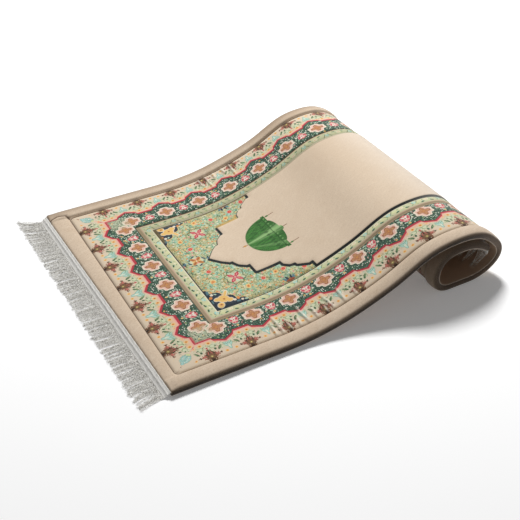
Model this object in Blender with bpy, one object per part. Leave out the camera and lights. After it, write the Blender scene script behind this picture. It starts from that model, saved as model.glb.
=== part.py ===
"""A padded velvet prayer rug, lying flat at its fringed end, rising in a wave
and rolled under at the other end, face outward.

Metres, +Z up.  The rug's length runs along X with the fringed end at -X,
its width runs along Y.  Flat places on the cloth are given as (u, y):
u is the distance along the cloth from the fringed end, y is across it.
"""
import math

import bpy
import numpy as np
from mathutils import Vector
from mathutils.geometry import delaunay_2d_cdt

# ---- the cloth -----------------------------------------------------------
HALF_WIDTH = 0.350          # from the middle to the widest point of the side
CLOTH_START = 0.0075        # where the cloth begins at the fringed end
END_SKEW = 0.0285           # the ends run a little askew, metres per metre
SIDE_SKEW = 0.0359          # the near side lifts a little before the far side
FAR_DROOP = 0.0060          # the far side hangs this much over the crest
DROOP_WIDTH = 0.100
FOLD_LINE = HALF_WIDTH - DROOP_WIDTH
BACKING = 0.0012            # woven backing
BACKING_GAP = 0.0003        # between backing and pad
UNDER_PAD = BACKING + BACKING_GAP
PAD_TOP = 0.012             # top of the pad above the underside, at a seam

# ---- the wave and the roll ----------------------------------------------
# run: length along the cloth; turn: degrees, up is positive
RUNS = (
    (0.2517, 0.0),          # flat on the floor
    (0.1156, 7.5),
    (0.0984, 10.0),
    (0.0914, 6.5),
    (0.0704, 6.0),          # steepest part of the slope
    (0.0332, -5.5),
    (0.0432, -14.0),
    (0.0694, -18.0),        # crest
    (0.0566, -33.0),
    (0.0436, -24.5),
    (0.02217, -53.0),       # right side of the roll
    (0.0304, -33.5),
    (0.0284, -16.0),
    (0.0236, -12.5),
    (0.0496, 0.0),          # flat spot of the roll on the floor
    (0.0183, -21.5),
    (0.0237, -46.0),
    (0.0406, -49.5),        # left side of the roll
    (0.0313, -46.5),
    (0.0281, -14.5),
    (0.0780, -39.5),        # inner layer, under the crest
)
CLOTH_END = sum(run for run, turn in RUNS)

# ---- quilting, seen flat -------------------------------------------------
SEAM_SIDE = 0.310           # outer seam, from the middle
SEAM_START = 0.045          # outer seam at the fringed end
SEAM_END = CLOTH_END - 0.036
SEAM_CORNER = 0.010         # its corner radius
STRETCH = 1.165             # the design is this much longer along the rug
STRIP_INSET = 0.110         # outer seam to the narrow strip
STRIP_WIDTH = 0.0286
PANEL_MIDDLE = -0.0045      # the strip and all inside it lie a little to the near side
SIDE_ROLL = 0.0070          # heights above a seam
END_BAND = 0.0028
BORDER_PUFF = 0.0025
STRIP_PUFF = 0.0036
SPANDREL_PUFF = 0.0024
FIELD_PUFF = 0.0050
SEAM_DEPTH = 0.0015
FIELD_MIDDLE = -0.004
# half outline of the arched field: distance along the cloth, half width
ARCH = (
    (0.2720, 0.0000),
    (0.2920, 0.0240),
    (0.3080, 0.0375),
    (0.3145, 0.0375),
    (0.3160, 0.0435),
    (0.3220, 0.0555),
    (0.3370, 0.0675),
    (0.3445, 0.0675),
    (0.3445, 0.0990),
    (0.4070, 0.1015),
    (0.4080, 0.1140),
    (0.4195, 0.1265),
    (0.4320, 0.1290),
    (0.4330, 0.1365),
    (0.4570, 0.1525),
    (0.4670, 0.1515),
    (0.4670, 0.1670),
)
ARCH_FOOT = 0.0040          # foot of the raised field, outside its outline
# puckers where the border is pinched along the foot of the slope
NEAR_PUCKERS = (0.294, 0.318, 0.342, 0.361, 0.383, 0.404, 0.426, 0.452)
FAR_PUCKERS = (0.391, 0.419, 0.444, 0.467)
PUCKER_HEIGHT = 0.0014
PUCKER_WIDTH = 0.0050
# seam round the end of the front band, at the far corner
BAND_SEAM = ((0.0450, 0.3080), (0.0400, 0.3210), (0.0250, 0.3270), (0.0120, 0.3230), (0.0075, 0.3180))

# ---- fringes -------------------------------------------------------------
FRONT_LOCKS = 120
REAR_LOCKS = 80
LOCK_GAP = 0.0015
LOCK_PARTS = (0.34, 0.68, 1.0)  # stations along a lock
TAPE_BATCH = 8              # locks to one width of tape
FRONT_LENGTH = 0.0535
REAR_LENGTH = 0.050
# woven tape of the front fringe: step out from the cloth, top, underside
FRONT_TAPE = (
    (0.0003, 0.0108, 0.0090),
    (0.0045, 0.0088, 0.0070),
    (0.0105, 0.0042, 0.0025),
    (0.0160, 0.0015, 0.0000),
)
# rear tape and locks: length of each step, direction in degrees
REAR_TAPE_STEPS = ((0.0050, -55.0), (0.0060, -80.0), (0.0050, -100.0))
REAR_LOCK_STEPS = ((0.36, -114.0), (0.34, -132.0), (0.30, -150.0))

# ---- middle of the whole piece, moved to the origin -----------------------
MIDDLE_X = 0.3892
MIDDLE_Y = 0.0093


def clear_scene():
    for thing in list(bpy.data.objects):
        bpy.data.objects.remove(thing, do_unlink=True)
    for store in (bpy.data.meshes, bpy.data.materials):
        for block in list(store):
            store.remove(block)


def fabric(name, colour, roughness):
    """A plain cloth material."""
    material = bpy.data.materials.new(name)
    material.use_nodes = True
    shader = material.node_tree.nodes["Principled BSDF"]
    shader.inputs["Base Color"].default_value = (*colour, 1.0)
    shader.inputs["Roughness"].default_value = roughness
    shader.inputs["Metallic"].default_value = 0.0
    material.diffuse_color = (*colour, 1.0)
    return material


# ---- shape of the wound cloth ----------------------------------------------
def wound_line(step=0.0005):
    """Side view of the underside: distance, x, z and heading."""
    runs = np.array([run for run, turn in RUNS])
    turns = np.radians([turn for run, turn in RUNS])
    knots = np.concatenate([[0.0], np.cumsum(runs)])
    headings = np.concatenate([[0.0], np.cumsum(turns)])
    bend = turns / runs
    slope = np.zeros(len(knots))
    for i in range(1, len(knots) - 1):
        if bend[i - 1] and bend[i]:
            both = runs[i - 1] + runs[i]
            slope[i] = (bend[i - 1] * runs[i] + bend[i] * runs[i - 1]) / both
    slope[-1] = bend[-1]
    u = np.linspace(0.0, knots[-1], int(knots[-1] / step) + 1)
    k = np.clip(np.searchsorted(knots, u, side="right") - 1, 0, len(runs) - 1)
    run = runs[k]
    t = (u - knots[k]) / run
    heading = (
        (2 * t**3 - 3 * t**2 + 1) * headings[k]
        + (t**3 - 2 * t**2 + t) * run * slope[k]
        + (3 * t**2 - 2 * t**3) * headings[k + 1]
        + (t**3 - t**2) * run * slope[k + 1]
    )
    heading = np.where(bend[k] == 0.0, headings[k], heading)
    mid = 0.5 * (heading[1:] + heading[:-1])
    gap = np.diff(u)
    x = np.concatenate([[0.0], np.cumsum(np.cos(mid) * gap)])
    z = np.concatenate([[0.0], np.cumsum(np.sin(mid) * gap)])
    return u, x, z, heading


LINE = wound_line()


def ramp(value, low, high):
    """0 below low, 1 above high, smooth between."""
    t = np.clip((value - low) / (high - low), 0.0, 1.0)
    return t * t * (3.0 - 2.0 * t)


def lift(u):
    """How fully the sideways skew of the slope applies, 0 to 1."""
    return np.clip((u - 0.2) / 0.2, 0.0, 1.0) * np.clip((0.86 - u) / 0.2, 0.0, 1.0)


def straight_across(station, y):
    """Distance along the cloth, at y, of the straight line through a station."""
    u = station
    for _ in range(12):
        u = station + SIDE_SKEW * y * lift(u)
    return float(u)


def droop(u, y):
    """How far the far side hangs down, beside the crest."""
    along = ramp(u, 0.45, 0.62) * ramp(-u, -0.86, -0.80)
    across = np.clip((y - FOLD_LINE) / DROOP_WIDTH, 0.0, 1.0)
    return FAR_DROOP * along * across


def cloth_to_space(u, y, height):
    """Places of points on the cloth, height above its underside."""
    u = np.asarray(u, float)
    y = np.asarray(y, float)
    front = 1.0 - np.clip((u - CLOTH_START) / (SEAM_START - CLOTH_START), 0.0, 1.0)
    along = u - END_SKEW * y * front
    shift = -SIDE_SKEW * y * lift(along)
    where = along + shift
    x = np.interp(where, LINE[0], LINE[1]) - shift
    z = np.interp(where, LINE[0], LINE[2])
    heading = np.interp(where, LINE[0], LINE[3])
    x = x - np.sin(heading) * height
    z = np.maximum(z + np.cos(heading) * height - droop(where, y), 0.0)
    x = np.where(along < 0.0, along, x)
    return np.stack([x - MIDDLE_X, y - MIDDLE_Y, z], axis=-1)


# ---- quilted relief ----------------------------------------------------------
def arch_points(grow):
    """The field's outline, near half then far half, grown outward."""
    half = [Vector(point) for point in ARCH]
    normals = []
    for i in range(len(half)):
        before = half[max(i - 1, 0)]
        after = half[min(i + 1, len(half) - 1)]
        way = (after - before).normalized()
        normals.append(Vector((-way.y, way.x)))
    normals[0] = Vector((-1.0, 0.0))
    moved = [point + normal * grow for point, normal in zip(half, normals)]
    near = [(p.x, FIELD_MIDDLE - p.y) for p in reversed(moved)]
    far = [(p.x, FIELD_MIDDLE + p.y) for p in moved[1:]]
    return near + far


def field_distance(u, y):
    """Distance inside (+) or outside (-) the arched outline."""
    ring = arch_points(0.0)
    ring = ring + [(SEAM_END, 0.20), (SEAM_END, -0.20)]
    ring[0] = (ARCH[-1][0], -0.20)
    ring[len(arch_points(0.0)) - 1] = (ARCH[-1][0], 0.20)
    nearest = np.full(np.shape(u), 1.0)
    inside = np.zeros(np.shape(u), bool)
    for (u0, y0), (u1, y1) in zip(ring, ring[1:] + ring[:1]):
        du, dy = u1 - u0, y1 - y0
        t = np.clip(((u - u0) * du + (y - y0) * dy) / (du * du + dy * dy), 0.0, 1.0)
        nearest = np.minimum(nearest, np.hypot(u - u0 - t * du, y - y0 - t * dy))
        crosses = (y0 > y) != (y1 > y)
        if dy:
            inside ^= crosses & (u < u0 + (y - y0) * du / dy)
    return np.where(inside, nearest, -nearest)


def shoulder(distance, reach):
    """Quick round rise away from a seam, 0 to 1."""
    t = np.clip(distance / reach, 0.0, 1.0)
    return np.sqrt(1.0 - (1.0 - t) ** 2)


def puckers(u, y):
    """Small ridges running in from the outer seams, to be added to the relief."""
    inset = SEAM_SIDE - np.abs(y)
    reach = ramp(inset, -0.012, 0.012) * ramp(-inset, -0.095, -0.055)
    total = np.zeros(np.shape(u))
    for places, side, share in ((NEAR_PUCKERS, -1, 1.0), (FAR_PUCKERS, 1, 0.7)):
        for place in places:
            ridge = np.exp(-(((u - place) / PUCKER_WIDTH) ** 2))
            total = total + share * ridge * (np.sign(y) == side)
    return PUCKER_HEIGHT * reach * total


def line_distance(u, y, line):
    """Distance from points to an open line."""
    nearest = np.full(np.shape(u), 1.0)
    for (u0, y0), (u1, y1) in zip(line, line[1:]):
        du, dy = u1 - u0, y1 - y0
        t = np.clip(((u - u0) * du + (y - y0) * dy) / (du * du + dy * dy), 0.0, 1.0)
        nearest = np.minimum(nearest, np.hypot(u - u0 - t * du, y - y0 - t * dy))
    return nearest


def relief(u, y):
    """Height of the quilted face over its seam level."""
    u = np.asarray(u, float)
    y = np.asarray(y, float)
    from_start = (u - SEAM_START) / STRETCH
    from_end = (SEAM_END - u) / STRETCH
    from_side = SEAM_SIDE - np.abs(y)
    ends = np.minimum(from_start, from_end)
    inset = np.minimum(ends, from_side)
    panel = np.minimum(ends, SEAM_SIDE - np.abs(y - PANEL_MIDDLE))
    corner = SEAM_CORNER - np.hypot(
        np.maximum(SEAM_CORNER - ends, 0.0), np.maximum(SEAM_CORNER - from_side, 0.0)
    )
    outer = np.where((ends < SEAM_CORNER) & (from_side < SEAM_CORNER), corner, inset)

    across = np.clip(-from_side / (HALF_WIDTH - SEAM_SIDE), 0.0, 1.0)
    roll = SIDE_ROLL * np.sqrt(1.0 - ((across - 0.48) / 0.53) ** 2) * ramp(across, 0.0, 0.16)
    along = np.clip(-ends * STRETCH / (SEAM_START - CLOTH_START), 0.0, 1.0)
    band = END_BAND * np.sin(math.pi * np.clip(along, 0.02, 0.98)) ** 0.6
    roll = roll * (1.0 - 0.45 * ramp(along, 0.3, 1.0))
    frame = np.maximum(roll, band * (outer < 0.0))

    border = BORDER_PUFF * shoulder(outer, 0.014) * shoulder(STRIP_INSET - panel, 0.010)
    over = (panel - STRIP_INSET) / STRIP_WIDTH
    strip = STRIP_PUFF * np.sin(math.pi * np.clip(over, 0.0, 1.0)) ** 0.7
    inner = panel - STRIP_INSET - STRIP_WIDTH
    side = field_distance(u, y)
    spandrel = SPANDREL_PUFF * shoulder(inner, 0.010) * shoulder(-side - ARCH_FOOT, 0.010)
    wall = 0.6 * ramp(side, -ARCH_FOOT, 0.0) + 0.4 * shoulder(side, 0.016)
    field = FIELD_PUFF * wall * shoulder(inner, 0.007)
    middle = np.where(inner > 0.0, np.maximum(spandrel, field), 0.0)

    height = np.where(outer < 0.0, frame, 0.0)
    height = np.where((outer >= 0.0) & (panel < STRIP_INSET), border, height)
    height = np.where((over >= 0.0) & (over <= 1.0), strip, height)
    height = np.where(over > 1.0, middle, height)
    for seam in (outer, panel - STRIP_INSET, inner):
        height = height - SEAM_DEPTH * np.exp(-((seam / 0.0022) ** 2))
    band_seam = line_distance(u, y, BAND_SEAM)
    height = height - 1.6 * SEAM_DEPTH * np.exp(-((band_seam / 0.0040) ** 2))
    return height + puckers(u, y)


# ---- building helpers --------------------------------------------------------
def solid(name, points, faces, material, smooth_degrees=None):
    """A closed mesh object with its faces turned outward."""
    mesh = bpy.data.meshes.new(name)
    mesh.from_pydata([tuple(map(float, point)) for point in points], [], faces)
    mesh.materials.append(material)
    thing = bpy.data.objects.new(name, mesh)
    bpy.context.scene.collection.objects.link(thing)
    bpy.ops.object.select_all(action="DESELECT")
    thing.select_set(True)
    bpy.context.view_layer.objects.active = thing
    bpy.ops.object.mode_set(mode="EDIT")
    bpy.ops.mesh.select_all(action="SELECT")
    bpy.ops.mesh.normals_make_consistent(inside=False)
    bpy.ops.object.mode_set(mode="OBJECT")
    if smooth_degrees:
        bpy.ops.object.shade_smooth_by_angle(angle=math.radians(smooth_degrees))
    return thing


def spread(start, end, step):
    """Evenly spaced stations, the last one left out."""
    count = max(1, round((end - start) / step))
    return [start + (end - start) * i / count for i in range(count)]


def along_stations():
    """Stations along the cloth, closer where it bends or is quilted."""
    strip_start = SEAM_START + STRIP_INSET * STRETCH
    strip_end = strip_start + STRIP_WIDTH * STRETCH
    stations = [CLOTH_START, 0.012, 0.024, 0.036, 0.0425, SEAM_START, 0.0480, 0.056]
    stations += [0.090, 0.125, 0.155, strip_start - 0.004, strip_start]
    stations += [strip_start + STRIP_WIDTH * STRETCH * part for part in (0.2, 0.5, 0.8)]
    stations += [strip_end, strip_end + 0.005]
    stations += [0.235, 0.262, 0.300, 0.325, 0.360, 0.385, 0.425, 0.448]
    stations += spread(0.478, 0.600, 0.0200)
    stations += spread(0.600, 0.800, 0.0130)
    stations += spread(0.800, 0.860, 0.0090)
    stations += spread(0.860, 0.960, 0.0068)
    stations += spread(0.960, 1.030, 0.0140)
    stations += spread(1.030, 1.160, 0.0072)
    stations += spread(1.160, CLOTH_END - 0.040, 0.0120)
    stations += [SEAM_END - 0.003, SEAM_END, SEAM_END + 0.003]
    stations += [CLOTH_END - 0.020, CLOTH_END - 0.006, CLOTH_END]
    return stations


def across_stations(fine):
    """Stations from the middle to one side."""
    strip_in = SEAM_SIDE - STRIP_INSET - STRIP_WIDTH
    strip_out = SEAM_SIDE - STRIP_INSET
    stations = [0.0, 0.090, strip_in - 0.006, strip_in]
    stations += [strip_in + STRIP_WIDTH * 0.5, strip_out, strip_out + 0.008]
    stations += [FOLD_LINE, SEAM_SIDE - 0.006, SEAM_SIDE, SEAM_SIDE + 0.005]
    stations += [0.3220, 0.3320, 0.3410, 0.3465]
    if fine:
        stations += [0.045, 0.130, strip_in + STRIP_WIDTH * 0.2]
        stations += [strip_in + STRIP_WIDTH * 0.8, 0.225, 0.280, 0.295]
    return sorted(stations)


def pad_top():
    """Flat triangulation of the quilted face, with the arch worked in."""
    points = []
    links = []
    for line in (arch_points(0.0), arch_points(ARCH_FOOT), BAND_SEAM[1:-1]):
        first = len(points)
        points += [Vector((u - SIDE_SKEW * y * lift(u), y)) for u, y in line]
        links += [(first + i, first + i + 1) for i in range(len(line) - 1)]
    for places, side in ((NEAR_PUCKERS, -1), (FAR_PUCKERS, 1)):
        for place in places:
            for aside in (-0.010, -0.005, 0.0, 0.005, 0.010):
                for inset in (0.0, 0.008, 0.020, 0.045, 0.070):
                    y = side * (SEAM_SIDE - inset)
                    u = place + aside
                    points.append(Vector((u - SIDE_SKEW * y * lift(u), y)))
    outline = np.array([tuple(point) for point in points])
    for station in along_stations():
        half = across_stations(station < 0.88)
        for y in [-value for value in reversed(half[1:])] + half:
            if abs(y) < SEAM_SIDE - STRIP_INSET + 0.010:
                y += PANEL_MIDDLE
            beside = np.hypot(outline[:, 0] - station, outline[:, 1] - y).min()
            if beside > 0.007:
                points.append(Vector((station, y)))
    # spread the close stations of the roll apart while joining them up
    spread_out = [Vector((p.x + 7.0 * max(p.x - 0.5, 0.0), p.y)) for p in points]
    result = delaunay_2d_cdt(spread_out, links, [], 0, 1e-6)
    flat = np.array([tuple(point) for point in result[0]])
    flat[:, 0] -= 7.0 / 8.0 * np.maximum(flat[:, 0] - 0.5, 0.0)
    flat[:, 0] = [straight_across(station, y) for station, y in flat]
    return flat, [list(face) for face in result[2]]


def build_pad(material):
    """The padded cloth, one closed solid from end to end."""
    flat, faces = pad_top()
    u, y = flat[:, 0], flat[:, 1]
    last = across_stations(False)[-1]
    height = PAD_TOP + relief(u, y)
    rim = {}
    sides = {"near": -last, "far": last}
    for name, value in sides.items():
        rim[name] = sorted(np.flatnonzero(np.abs(y - value) < 1e-5), key=lambda i: u[i])
    for name, value in (("start", CLOTH_START), ("end", CLOTH_END)):
        rim[name] = sorted(np.flatnonzero(np.abs(u - value) < 1e-5), key=lambda i: y[i])
    loop = list(rim["near"]) + list(rim["end"])[1:]
    loop += list(reversed(rim["far"]))[1:] + list(reversed(rim["start"]))[1:-1]
    height[loop] = np.where(np.abs(np.abs(y[loop]) - last) < 1e-5, 0.0152, PAD_TOP)
    front = 1.0 - 0.35 * ramp(-u, -0.05, -CLOTH_START)
    height[loop] = np.minimum(height[loop], 0.0152 * front[loop])
    points = list(cloth_to_space(u, y, height))
    rings = [list(loop)]
    levels = ((HALF_WIDTH, 0.0068), (HALF_WIDTH - 0.0045, UNDER_PAD))
    y_of = {}
    for reach, level in levels:
        ring = []
        for i in loop:
            ring.append(len(points))
            y_of[len(points)] = y[i]
            across = math.copysign(reach, y[i]) if abs(abs(y[i]) - last) < 1e-5 else y[i]
            points.append(cloth_to_space(u[i], across, level))
        rings.append(ring)
    count = len(loop)
    for upper, lower in zip(rings, rings[1:]):
        for i in range(count):
            j = (i + 1) % count
            faces.append([upper[i], upper[j], lower[j], lower[i]])
    faces += underside(rings[-1], len(rim["near"]), len(rim["end"]), points, y_of)
    return solid("rug_pad", points, faces, material, 40)


def underside(ring, along, across, points, y_of):
    """Strips from the near rim to the far rim, closing the bottom."""
    near = ring[:along]
    far = list(reversed(ring[along + across - 2:2 * along + across - 2]))
    end = list(ring[along - 1:along + across - 1])
    start = [near[0]] + list(reversed(ring[2 * along + across - 2:])) + [far[0]]
    fold_start = min(start, key=lambda i: abs(y_of[i] - FOLD_LINE))
    fold_end = min(end, key=lambda i: abs(y_of[i] - FOLD_LINE))
    fold = [fold_start]
    for station in along_stations()[1:-1]:
        fold.append(len(points))
        points.append(cloth_to_space(straight_across(station, FOLD_LINE), FOLD_LINE, UNDER_PAD))
    fold.append(fold_end)
    split = start.index(fold_start)
    cut = end.index(fold_end)
    faces = [
        [near[1], fold[1]] + list(reversed(start[:split + 1])),
        [fold[1], far[1]] + list(reversed(start[split:])),
        [fold[-2], near[-2]] + end[:cut + 1],
        [far[-2], fold[-2]] + end[cut:],
    ]
    for i in range(1, along - 2):
        for left, right in ((near, fold), (fold, far)):
            faces.append([left[i], left[i + 1], right[i + 1]])
            faces.append([left[i], right[i + 1], right[i]])
    return faces


def build_backing(material):
    """Thin woven sheet under the pad, following it from end to end."""
    half = HALF_WIDTH - 0.0035
    stations = [u for u in along_stations() if u > SEAM_START]
    stations = [CLOTH_START + 0.001, 0.045] + stations[:-1] + [CLOTH_END - 0.001]
    points = []
    for station in stations:
        for level in (0.0, BACKING):
            for y in (-half, FOLD_LINE, half):
                points.append(cloth_to_space(straight_across(station, y), y, level))
    faces = [[0, 1, 4, 3], [1, 2, 5, 4]]
    for i in range(len(stations) - 1):
        a, b = 6 * i, 6 * i + 6
        for k in (0, 1):
            faces += [[a + k, a + k + 1, b + k + 1], [a + k, b + k + 1, b + k]]
            faces += [[a + k + 3, b + k + 3, b + k + 4], [a + k + 3, b + k + 4, a + k + 4]]
        faces += [[a + 2, a + 5, b + 5, b + 2], [a + 3, a, b, b + 3]]
    last = 6 * (len(stations) - 1)
    faces += [[last, last + 1, last + 4, last + 3], [last + 1, last + 2, last + 5, last + 4]]
    return solid("backing_sheet", points, faces, material, 40)


def lock_roots(count, half):
    """Where the two edges of every lock meet the tape, across the rug."""
    pitch = 2.0 * half / count
    roots = []
    for i in range(count):
        left = -half + pitch * i
        roots += [left + LOCK_GAP / 2, left + pitch - LOCK_GAP / 2]
    roots[0] = -half
    roots[-1] = half
    return roots


def tape_faces(grid, outer):
    """Faces of the tape, but for the outer edge between its locks."""
    faces = []
    for c in range(len(grid) - 1):
        here, there = grid[c], grid[c + 1]
        final = 2 * TAPE_BATCH * (c + 1)
        faces.append([here[0][0], here[0][1], there[0][1], there[0][0]])
        for level in (0, 1):
            for a, b, d, e in zip(here, there, there[1:], here[1:]):
                faces.append([a[level], b[level], d[level], e[level]])
            edge = [pair[level] for pair in outer[final - 2 * TAPE_BATCH:final]]
            faces.append([here[-1][level]] + edge + [there[-1][level]])
            if final < len(outer):
                faces.append([edge[-1], outer[final][level], there[-1][level]])
    for side in (0, -1):
        column = grid[side] + [outer[side]]
        for a, b in zip(column, column[1:]):
            faces.append([a[0], a[1], b[1], b[0]])
    return faces


def lock_faces(pairs):
    """Faces of one lock through its left and right pairs of points."""
    rings = [[left[0], right[0], right[1], left[1]] for left, right in pairs]
    faces = [rings[-1]]
    for a, b in zip(rings, rings[1:]):
        for k in range(4):
            n = (k + 1) % 4
            faces.append([a[k], a[n], b[n], b[k]])
    return faces


def build_fringe(name, material, count, half, tape, lock):
    """A woven tape whose outer edge carries a row of flat locks.

    tape(y) gives (lower, upper) points from the cloth outward.
    lock(y, side, step, index) gives them along a lock's left or right edge.
    """
    points = []

    def add(pair):
        points.extend(pair)
        return len(points) - 2, len(points) - 1

    roots = lock_roots(count, half)
    outer = [add(tape(y)[-1]) for y in roots]
    stations = [0.5 * (roots[2 * k - 1] + roots[2 * k]) for k in range(TAPE_BATCH, count, TAPE_BATCH)]
    stations = [roots[0]] + stations + [roots[-1]]
    grid = [[add(pair) for pair in tape(y)[:-1]] for y in stations]
    faces = tape_faces(grid, outer)
    for i in range(count):
        middle = 0.5 * (roots[2 * i] + roots[2 * i + 1])
        pairs = [(outer[2 * i], outer[2 * i + 1])]
        for step in range(len(LOCK_PARTS)):
            pairs.append((add(lock(middle, -1, step, i)), add(lock(middle, 1, step, i))))
        faces += lock_faces(pairs)
    for (a, b), (c, d) in zip(outer[1:-1:2], outer[2:-1:2]):
        faces.append([a, b, d, c])
    return solid(name, points, faces, material)


def fan(y):
    """How far a front lock's tip leans sideways."""
    far = 0.034 * math.exp(-max(HALF_WIDTH - y, 0.0) / 0.055)
    near = 0.013 * math.exp(-max(HALF_WIDTH + y, 0.0) / 0.070)
    return far - near


def front_tape(y):
    start = CLOTH_START - END_SKEW * y
    pairs = []
    for out, top, low in FRONT_TAPE:
        x = start - out - MIDDLE_X
        pairs.append(((x, y - MIDDLE_Y, low), (x, y - MIDDLE_Y, top)))
    return pairs


def front_lock(y, side, step, index):
    part = LOCK_PARTS[step]
    start = CLOTH_START - END_SKEW * y - FRONT_TAPE[-1][0]
    wave = 0.0012 * math.sin(index * 2.4)
    length = FRONT_LENGTH * (1.0 + 0.02 * math.sin(index * 1.7))
    half = 0.0021 - 0.0006 * part
    x = start - length * part - MIDDLE_X
    across = y + fan(y) * part**1.7 + wave * part * (1.0 - part) + side * half - MIDDLE_Y
    return (x, across, 0.0), (x, across, 0.0015 - 0.0004 * part)


def walk(start, steps):
    """Points reached from start by steps of (length, degrees)."""
    places = [start]
    for length, degrees in steps:
        x, z = places[-1]
        turn = math.radians(degrees)
        places.append((x + length * math.cos(turn), z + length * math.sin(turn)))
    return places


def rear_path():
    """Middle line of the rear tape, then of its locks."""
    x, z, heading = LINE[1][-1], LINE[2][-1], LINE[3][-1]
    start_x = x + 0.0004 * math.cos(heading) - 0.0050 * math.sin(heading)
    start_z = z + 0.0004 * math.sin(heading) + 0.0050 * math.cos(heading)
    tape = walk((start_x, start_z), REAR_TAPE_STEPS)
    locks = walk(tape[-1], [(REAR_LENGTH * part, way) for part, way in REAR_LOCK_STEPS])
    return tape, locks


def across_line(places, index, thickness):
    """Two points either side of a line at one of its places."""
    before = places[max(index - 1, 0)]
    after = places[min(index + 1, len(places) - 1)]
    way = Vector((after[0] - before[0], after[1] - before[1])).normalized()
    x, z = places[index]
    half = thickness / 2
    return (x + way.y * half, z - way.x * half), (x - way.y * half, z + way.x * half)


def rear_tape(y):
    tape = rear_path()[0]
    pairs = []
    for i in range(len(tape)):
        low, high = across_line(tape, i, 0.0016)
        pairs.append(tuple((x - MIDDLE_X, y - MIDDLE_Y, z) for x, z in (low, high)))
    return pairs


def rear_lock(y, side, step, index):
    part = LOCK_PARTS[step]
    low, high = across_line(rear_path()[1], step + 1, 0.0014)
    half = 0.0026 - 0.0006 * part
    drift = 0.0025 * math.sin(index * 2.1) * part
    sway = 0.0030 * math.sin(index * 1.3) * part
    return tuple((x + sway - MIDDLE_X, y + drift + side * half - MIDDLE_Y, z) for x, z in (low, high))


def build():
    clear_scene()
    velvet = fabric("beige_printed_velvet", (0.62, 0.50, 0.37), 0.90)
    woven = fabric("taupe_woven_backing", (0.42, 0.36, 0.31), 0.92)
    cotton = fabric("grey_cotton_fringe", (0.56, 0.54, 0.49), 0.88)
    build_pad(velvet)
    build_backing(woven)
    build_fringe("front_fringe", cotton, FRONT_LOCKS, HALF_WIDTH - 0.0035, front_tape, front_lock)
    build_fringe("rear_fringe", cotton, REAR_LOCKS, HALF_WIDTH - 0.006, rear_tape, rear_lock)


build()
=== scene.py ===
# %% [markdown]
# # A padded prayer rug, half unrolled
# The rug lies with its fringed end flat on the floor, rises in a low wave and
# is rolled under at the far end. The measured model gives the shape. This
# lesson makes the looks: the printed velvet, the woven underside, the fringe.

# %% Load the measured model
import math

import bpy
import numpy as np
from mathutils import Matrix, Vector


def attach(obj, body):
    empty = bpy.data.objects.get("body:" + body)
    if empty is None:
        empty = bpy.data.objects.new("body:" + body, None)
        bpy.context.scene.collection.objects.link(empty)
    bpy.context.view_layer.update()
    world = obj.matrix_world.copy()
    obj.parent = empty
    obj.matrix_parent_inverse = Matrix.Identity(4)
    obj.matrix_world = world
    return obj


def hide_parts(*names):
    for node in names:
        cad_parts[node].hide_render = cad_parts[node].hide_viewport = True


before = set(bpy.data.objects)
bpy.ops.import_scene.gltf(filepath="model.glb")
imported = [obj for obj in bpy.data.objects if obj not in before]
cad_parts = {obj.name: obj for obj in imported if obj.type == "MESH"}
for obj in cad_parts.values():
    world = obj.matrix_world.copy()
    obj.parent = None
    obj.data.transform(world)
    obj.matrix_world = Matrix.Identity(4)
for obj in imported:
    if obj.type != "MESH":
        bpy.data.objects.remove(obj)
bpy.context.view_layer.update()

print("nodes:", sorted(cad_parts))

# %% [markdown]
# ## The line of the cloth
# Everything is placed by its distance along the cloth (u), its distance from
# the middle (y) and its height over the underside. The side view of the wound
# cloth is a list of bends: the length of each and how many degrees it turns.

# %% Sizes of the cloth
HALF_WIDTH = 0.350
CLOTH_START = 0.0075
END_SKEW = 0.0285
SIDE_SKEW = 0.0359
FAR_DROOP = 0.006
DROOP_WIDTH = 0.100
FOLD_LINE = 0.250
UNDER_PAD = 0.0015
PAD_TOP = 0.0120
MIDDLE_X = 0.3892
MIDDLE_Y = 0.0093
RUNS = (
    (0.2517, 0.0), (0.1156, 7.5), (0.0984, 10.0), (0.0914, 6.5), (0.0704, 6.0),
    (0.0332, -5.5), (0.0432, -14.0), (0.0694, -18.0), (0.0566, -33.0),
    (0.0436, -24.5), (0.02217, -53.0), (0.0304, -33.5), (0.0284, -16.0),
    (0.0236, -12.5), (0.0496, 0.0), (0.0183, -21.5), (0.0237, -46.0),
    (0.0406, -49.5), (0.0313, -46.5), (0.0281, -14.5), (0.0780, -39.5),
)
CLOTH_END = sum(run for run, turn in RUNS)
print("cloth:", round(CLOTH_END - CLOTH_START, 4), "m long,", 2 * HALF_WIDTH, "m wide")

# %% [markdown]
# The bends are joined into one smooth line, the side view of the underside. A
# bezier curve drawn by hand could give it too, but its length is then hard to
# keep, and here the length of each bend is a measure of the cloth.

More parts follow.
